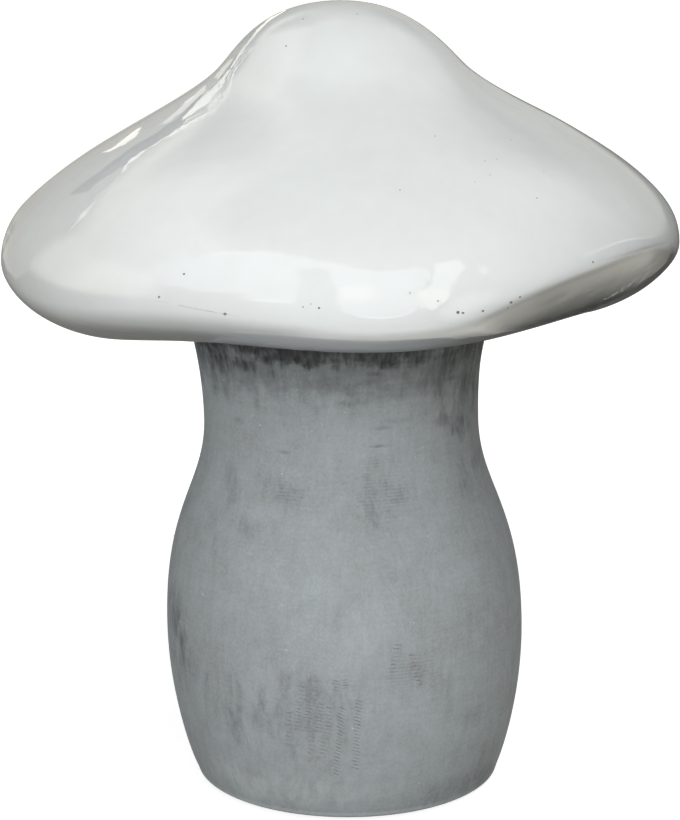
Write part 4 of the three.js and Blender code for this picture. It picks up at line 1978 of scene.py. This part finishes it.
    def bend(self, skin: Skin) -> None:
        """Tilts, shifts and waves the cap, and leaves the seat and the collar true.

        Args:
            skin: The turned skin.
        """
        x, y, z = skin.points.T
        over_rim = ease(z, self.rim_height, self.waist_height)
        over_waist = ease(z, self.waist_height, self.height)
        under = 1.0 - ease(z, -self.lip_drop, self.rim_height)
        free = np.where(z > self.rim_height, 1.0, ease(np.hypot(x, y), self.seat_radius, self.lip_radius))
        below = np.clip((z + self.lip_drop) / (self.rim_height + self.lip_drop), 0.0, 1.0)
        above = 1.0 - ease(z, self.rim_height, self.rim_height + self.sag_above)
        low = np.where(z < self.rim_height, below, above)
        hang = sum(sag.share(np.arctan2(x, -y)) for sag in self.sags)
        rise = self.tilt * x + under * self.wave(np.arctan2(y, x)) - hang * low
        shift = self.rim_shift + (self.waist_shift - self.rim_shift) * over_rim
        shift = shift + (self.crown_shift - self.waist_shift) * over_waist
        skin.points[:, 2] += free * rise + self.seat_height
        skin.points[:, 0] += free * shift

    def skin(self, camera: PhotoCamera) -> tuple[Skin, np.ndarray, np.ndarray]:
        """Shapes the cap.

        Args:
            camera: Finds the places of the swells.

        Returns:
            The finished skin, in place, how bare of glaze each point is, and how much painted shade darkens
            its glaze on the pressed facets.
        """
        outline, glazed, outside = self.outline()
        skin = Skin(outline, self.segments)
        self.bend(skin)
        ring = np.array(skin.ring_of)
        shown = ease(ring, glazed, glazed + self.true_rings) * (ring < outside)
        wall = self.facet_wall * self.wall
        pressed = sum(facet.press(skin, shown > 0.5, ring >= outside, wall) for facet in self.facets)
        surface = Surface(skin)
        amounts = sum(lumps.amounts(skin) for lumps in self.lumps)
        amounts += sum(swell.amounts(skin, camera, surface) for swell in self.swells)
        skin.push(amounts * shown)
        glaze = ease(ring, *(glazed + rings for rings in self.bare_rings)) * (ring < outside)
        return skin, 1.0 - glaze, ease(pressed, self.thin_from, self.thin_to)

    def build(self, camera: PhotoCamera, effects: Effects, growth: Growth) -> Surface:
        """Builds and dresses the cap.

        Args:
            camera: Finds the places of the swells and marks.
            effects: The shared surface effects.
            growth: The trees that lay pinholes and the crease.

        Returns:
            The cap's surface.
        """
        skin, bare, thin = self.skin(camera)
        surface = Surface(skin)
        piece = skin.piece("cap_glazed")
        note(piece.data, "bare", bare)
        # notes the painted shade of the pressed facets for the glaze
        note(piece.data, "thin", thin)
        piece.data.materials.append(WhiteGlaze().make(effects))
        fit(piece, Body.CAP, ("cap",))
        places = carrier(camera, surface, self.pinholes)
        # pinholes: bare clay and painted shade inside the pits
        dark = self.pinhole.values(self.pinhole_size, PINHOLE_CLAY_AND_SHADE.make(effects))
        holes = growth.marks.lay(places, "cap_pinholes", dark)
        # the crease is a hairline of painted shade
        path = [Mark(pixel) for pixel in split_path(self.crease, self.crease_step, closed=False)]
        line = {"Width": self.crease_width, "Material": CREASE_SHADE.make(effects)}
        crease = growth.crease.lay(carrier(camera, surface, path, joined=True), "cap_crease", line)
        for extra in (holes, crease):
            fit(extra, Body.CAP)
        return surface


@dataclass
class CushionRing:
    """The soft ring between the mouth of the stem and the seat of the cap."""

    rounding: float = 1.2 * MM
    segments: int = 160

    def build(self, effects: Effects) -> None:
        """Builds and dresses the ring.

        Args:
            effects: The shared surface effects.
        """
        low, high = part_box("cushion_ring")
        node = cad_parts["cushion_ring"].data.vertices
        inner = min(math.hypot(v.co.x, v.co.y) for v in node)
        outer, soft = high.y, self.rounding
        path = Outline(inner + soft, low.z).line(outer - soft, low.z, 4)
        path.curve((outer, low.z), (outer, low.z + soft), steps=4).line(outer, high.z - soft)
        path.curve((outer, high.z), (outer - soft, high.z), steps=4).line(inner + soft, high.z, 4)
        path.curve((inner, high.z), (inner, high.z - soft), steps=4).line(inner, low.z + soft)
        path.curve((inner, low.z), (inner + soft, low.z), steps=4)
        piece = Skin(path.points[:-1], self.segments).piece("cushion_ring_rubber")
        piece.data.materials.append(BLACK_RUBBER.make(effects))
        fit(piece, Body.RING, ("cushion_ring",))


@dataclass
class FootPads:
    """Four soft pads under the foot, each with grip grooves on its underside."""

    rounding: float = 0.8 * MM
    groove_depth: float = 0.5 * MM
    grooves: int = 3
    segments: int = 64
    corners: tuple[str, ...] = ("front_left", "front_right", "back_left", "back_right")

    def build(self, effects: Effects) -> None:
        """Builds and dresses the pads.

        Args:
            effects: The shared surface effects.
        """
        material = GREY_RUBBER.make(effects)
        for corner in self.corners:
            low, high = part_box(f"foot_pad_{corner}")
            radius, soft = (high.y - low.y) / 2, self.rounding
            path = Outline(0.0, low.z)
            pitch = (radius - soft) / (2 * self.grooves + 1)
            for i in range(self.grooves):
                start = pitch * (2 * i + 1)
                path.line(start, low.z)
                path.curve((start, low.z + self.groove_depth), (start + pitch, low.z + self.groove_depth),
                           (start + pitch, low.z), steps=6)
            path.line(radius - soft, low.z)
            path.curve((radius, low.z), (radius, low.z + soft), steps=4).line(radius, high.z - soft / 2)
            path.curve((radius, high.z), (radius - soft / 2, high.z), steps=3).line(0.0, high.z, 3)
            skin = Skin(path.points, self.segments)
            skin.points[:, :2] += np.array(((low.x + high.x) / 2, (low.y + high.y) / 2))
            piece = skin.piece(f"foot_pad_{corner}_rubber")
            piece.data.materials.append(material)
            fit(piece, Body.STEM, (f"foot_pad_{corner}",))


def write_sizes() -> None:
    """Brings the scene's view layer up to date."""
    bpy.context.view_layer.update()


def main() -> None:
    """Builds the studio and the four sub-assemblies in order."""
    logging.basicConfig(level=logging.INFO, format="%(name)s: %(message)s")
    camera = PhotoCamera()
    camera.build()
    studio = Studio()
    studio.build()
    effects, growth = Effects(), Growth()
    Stem().build(camera, effects, growth)
    CushionRing().build(effects)
    studio.mirror(camera, Cap().build(camera, effects, growth))
    FootPads().build(effects)
    write_sizes()


if __name__ == "__main__":
    main()
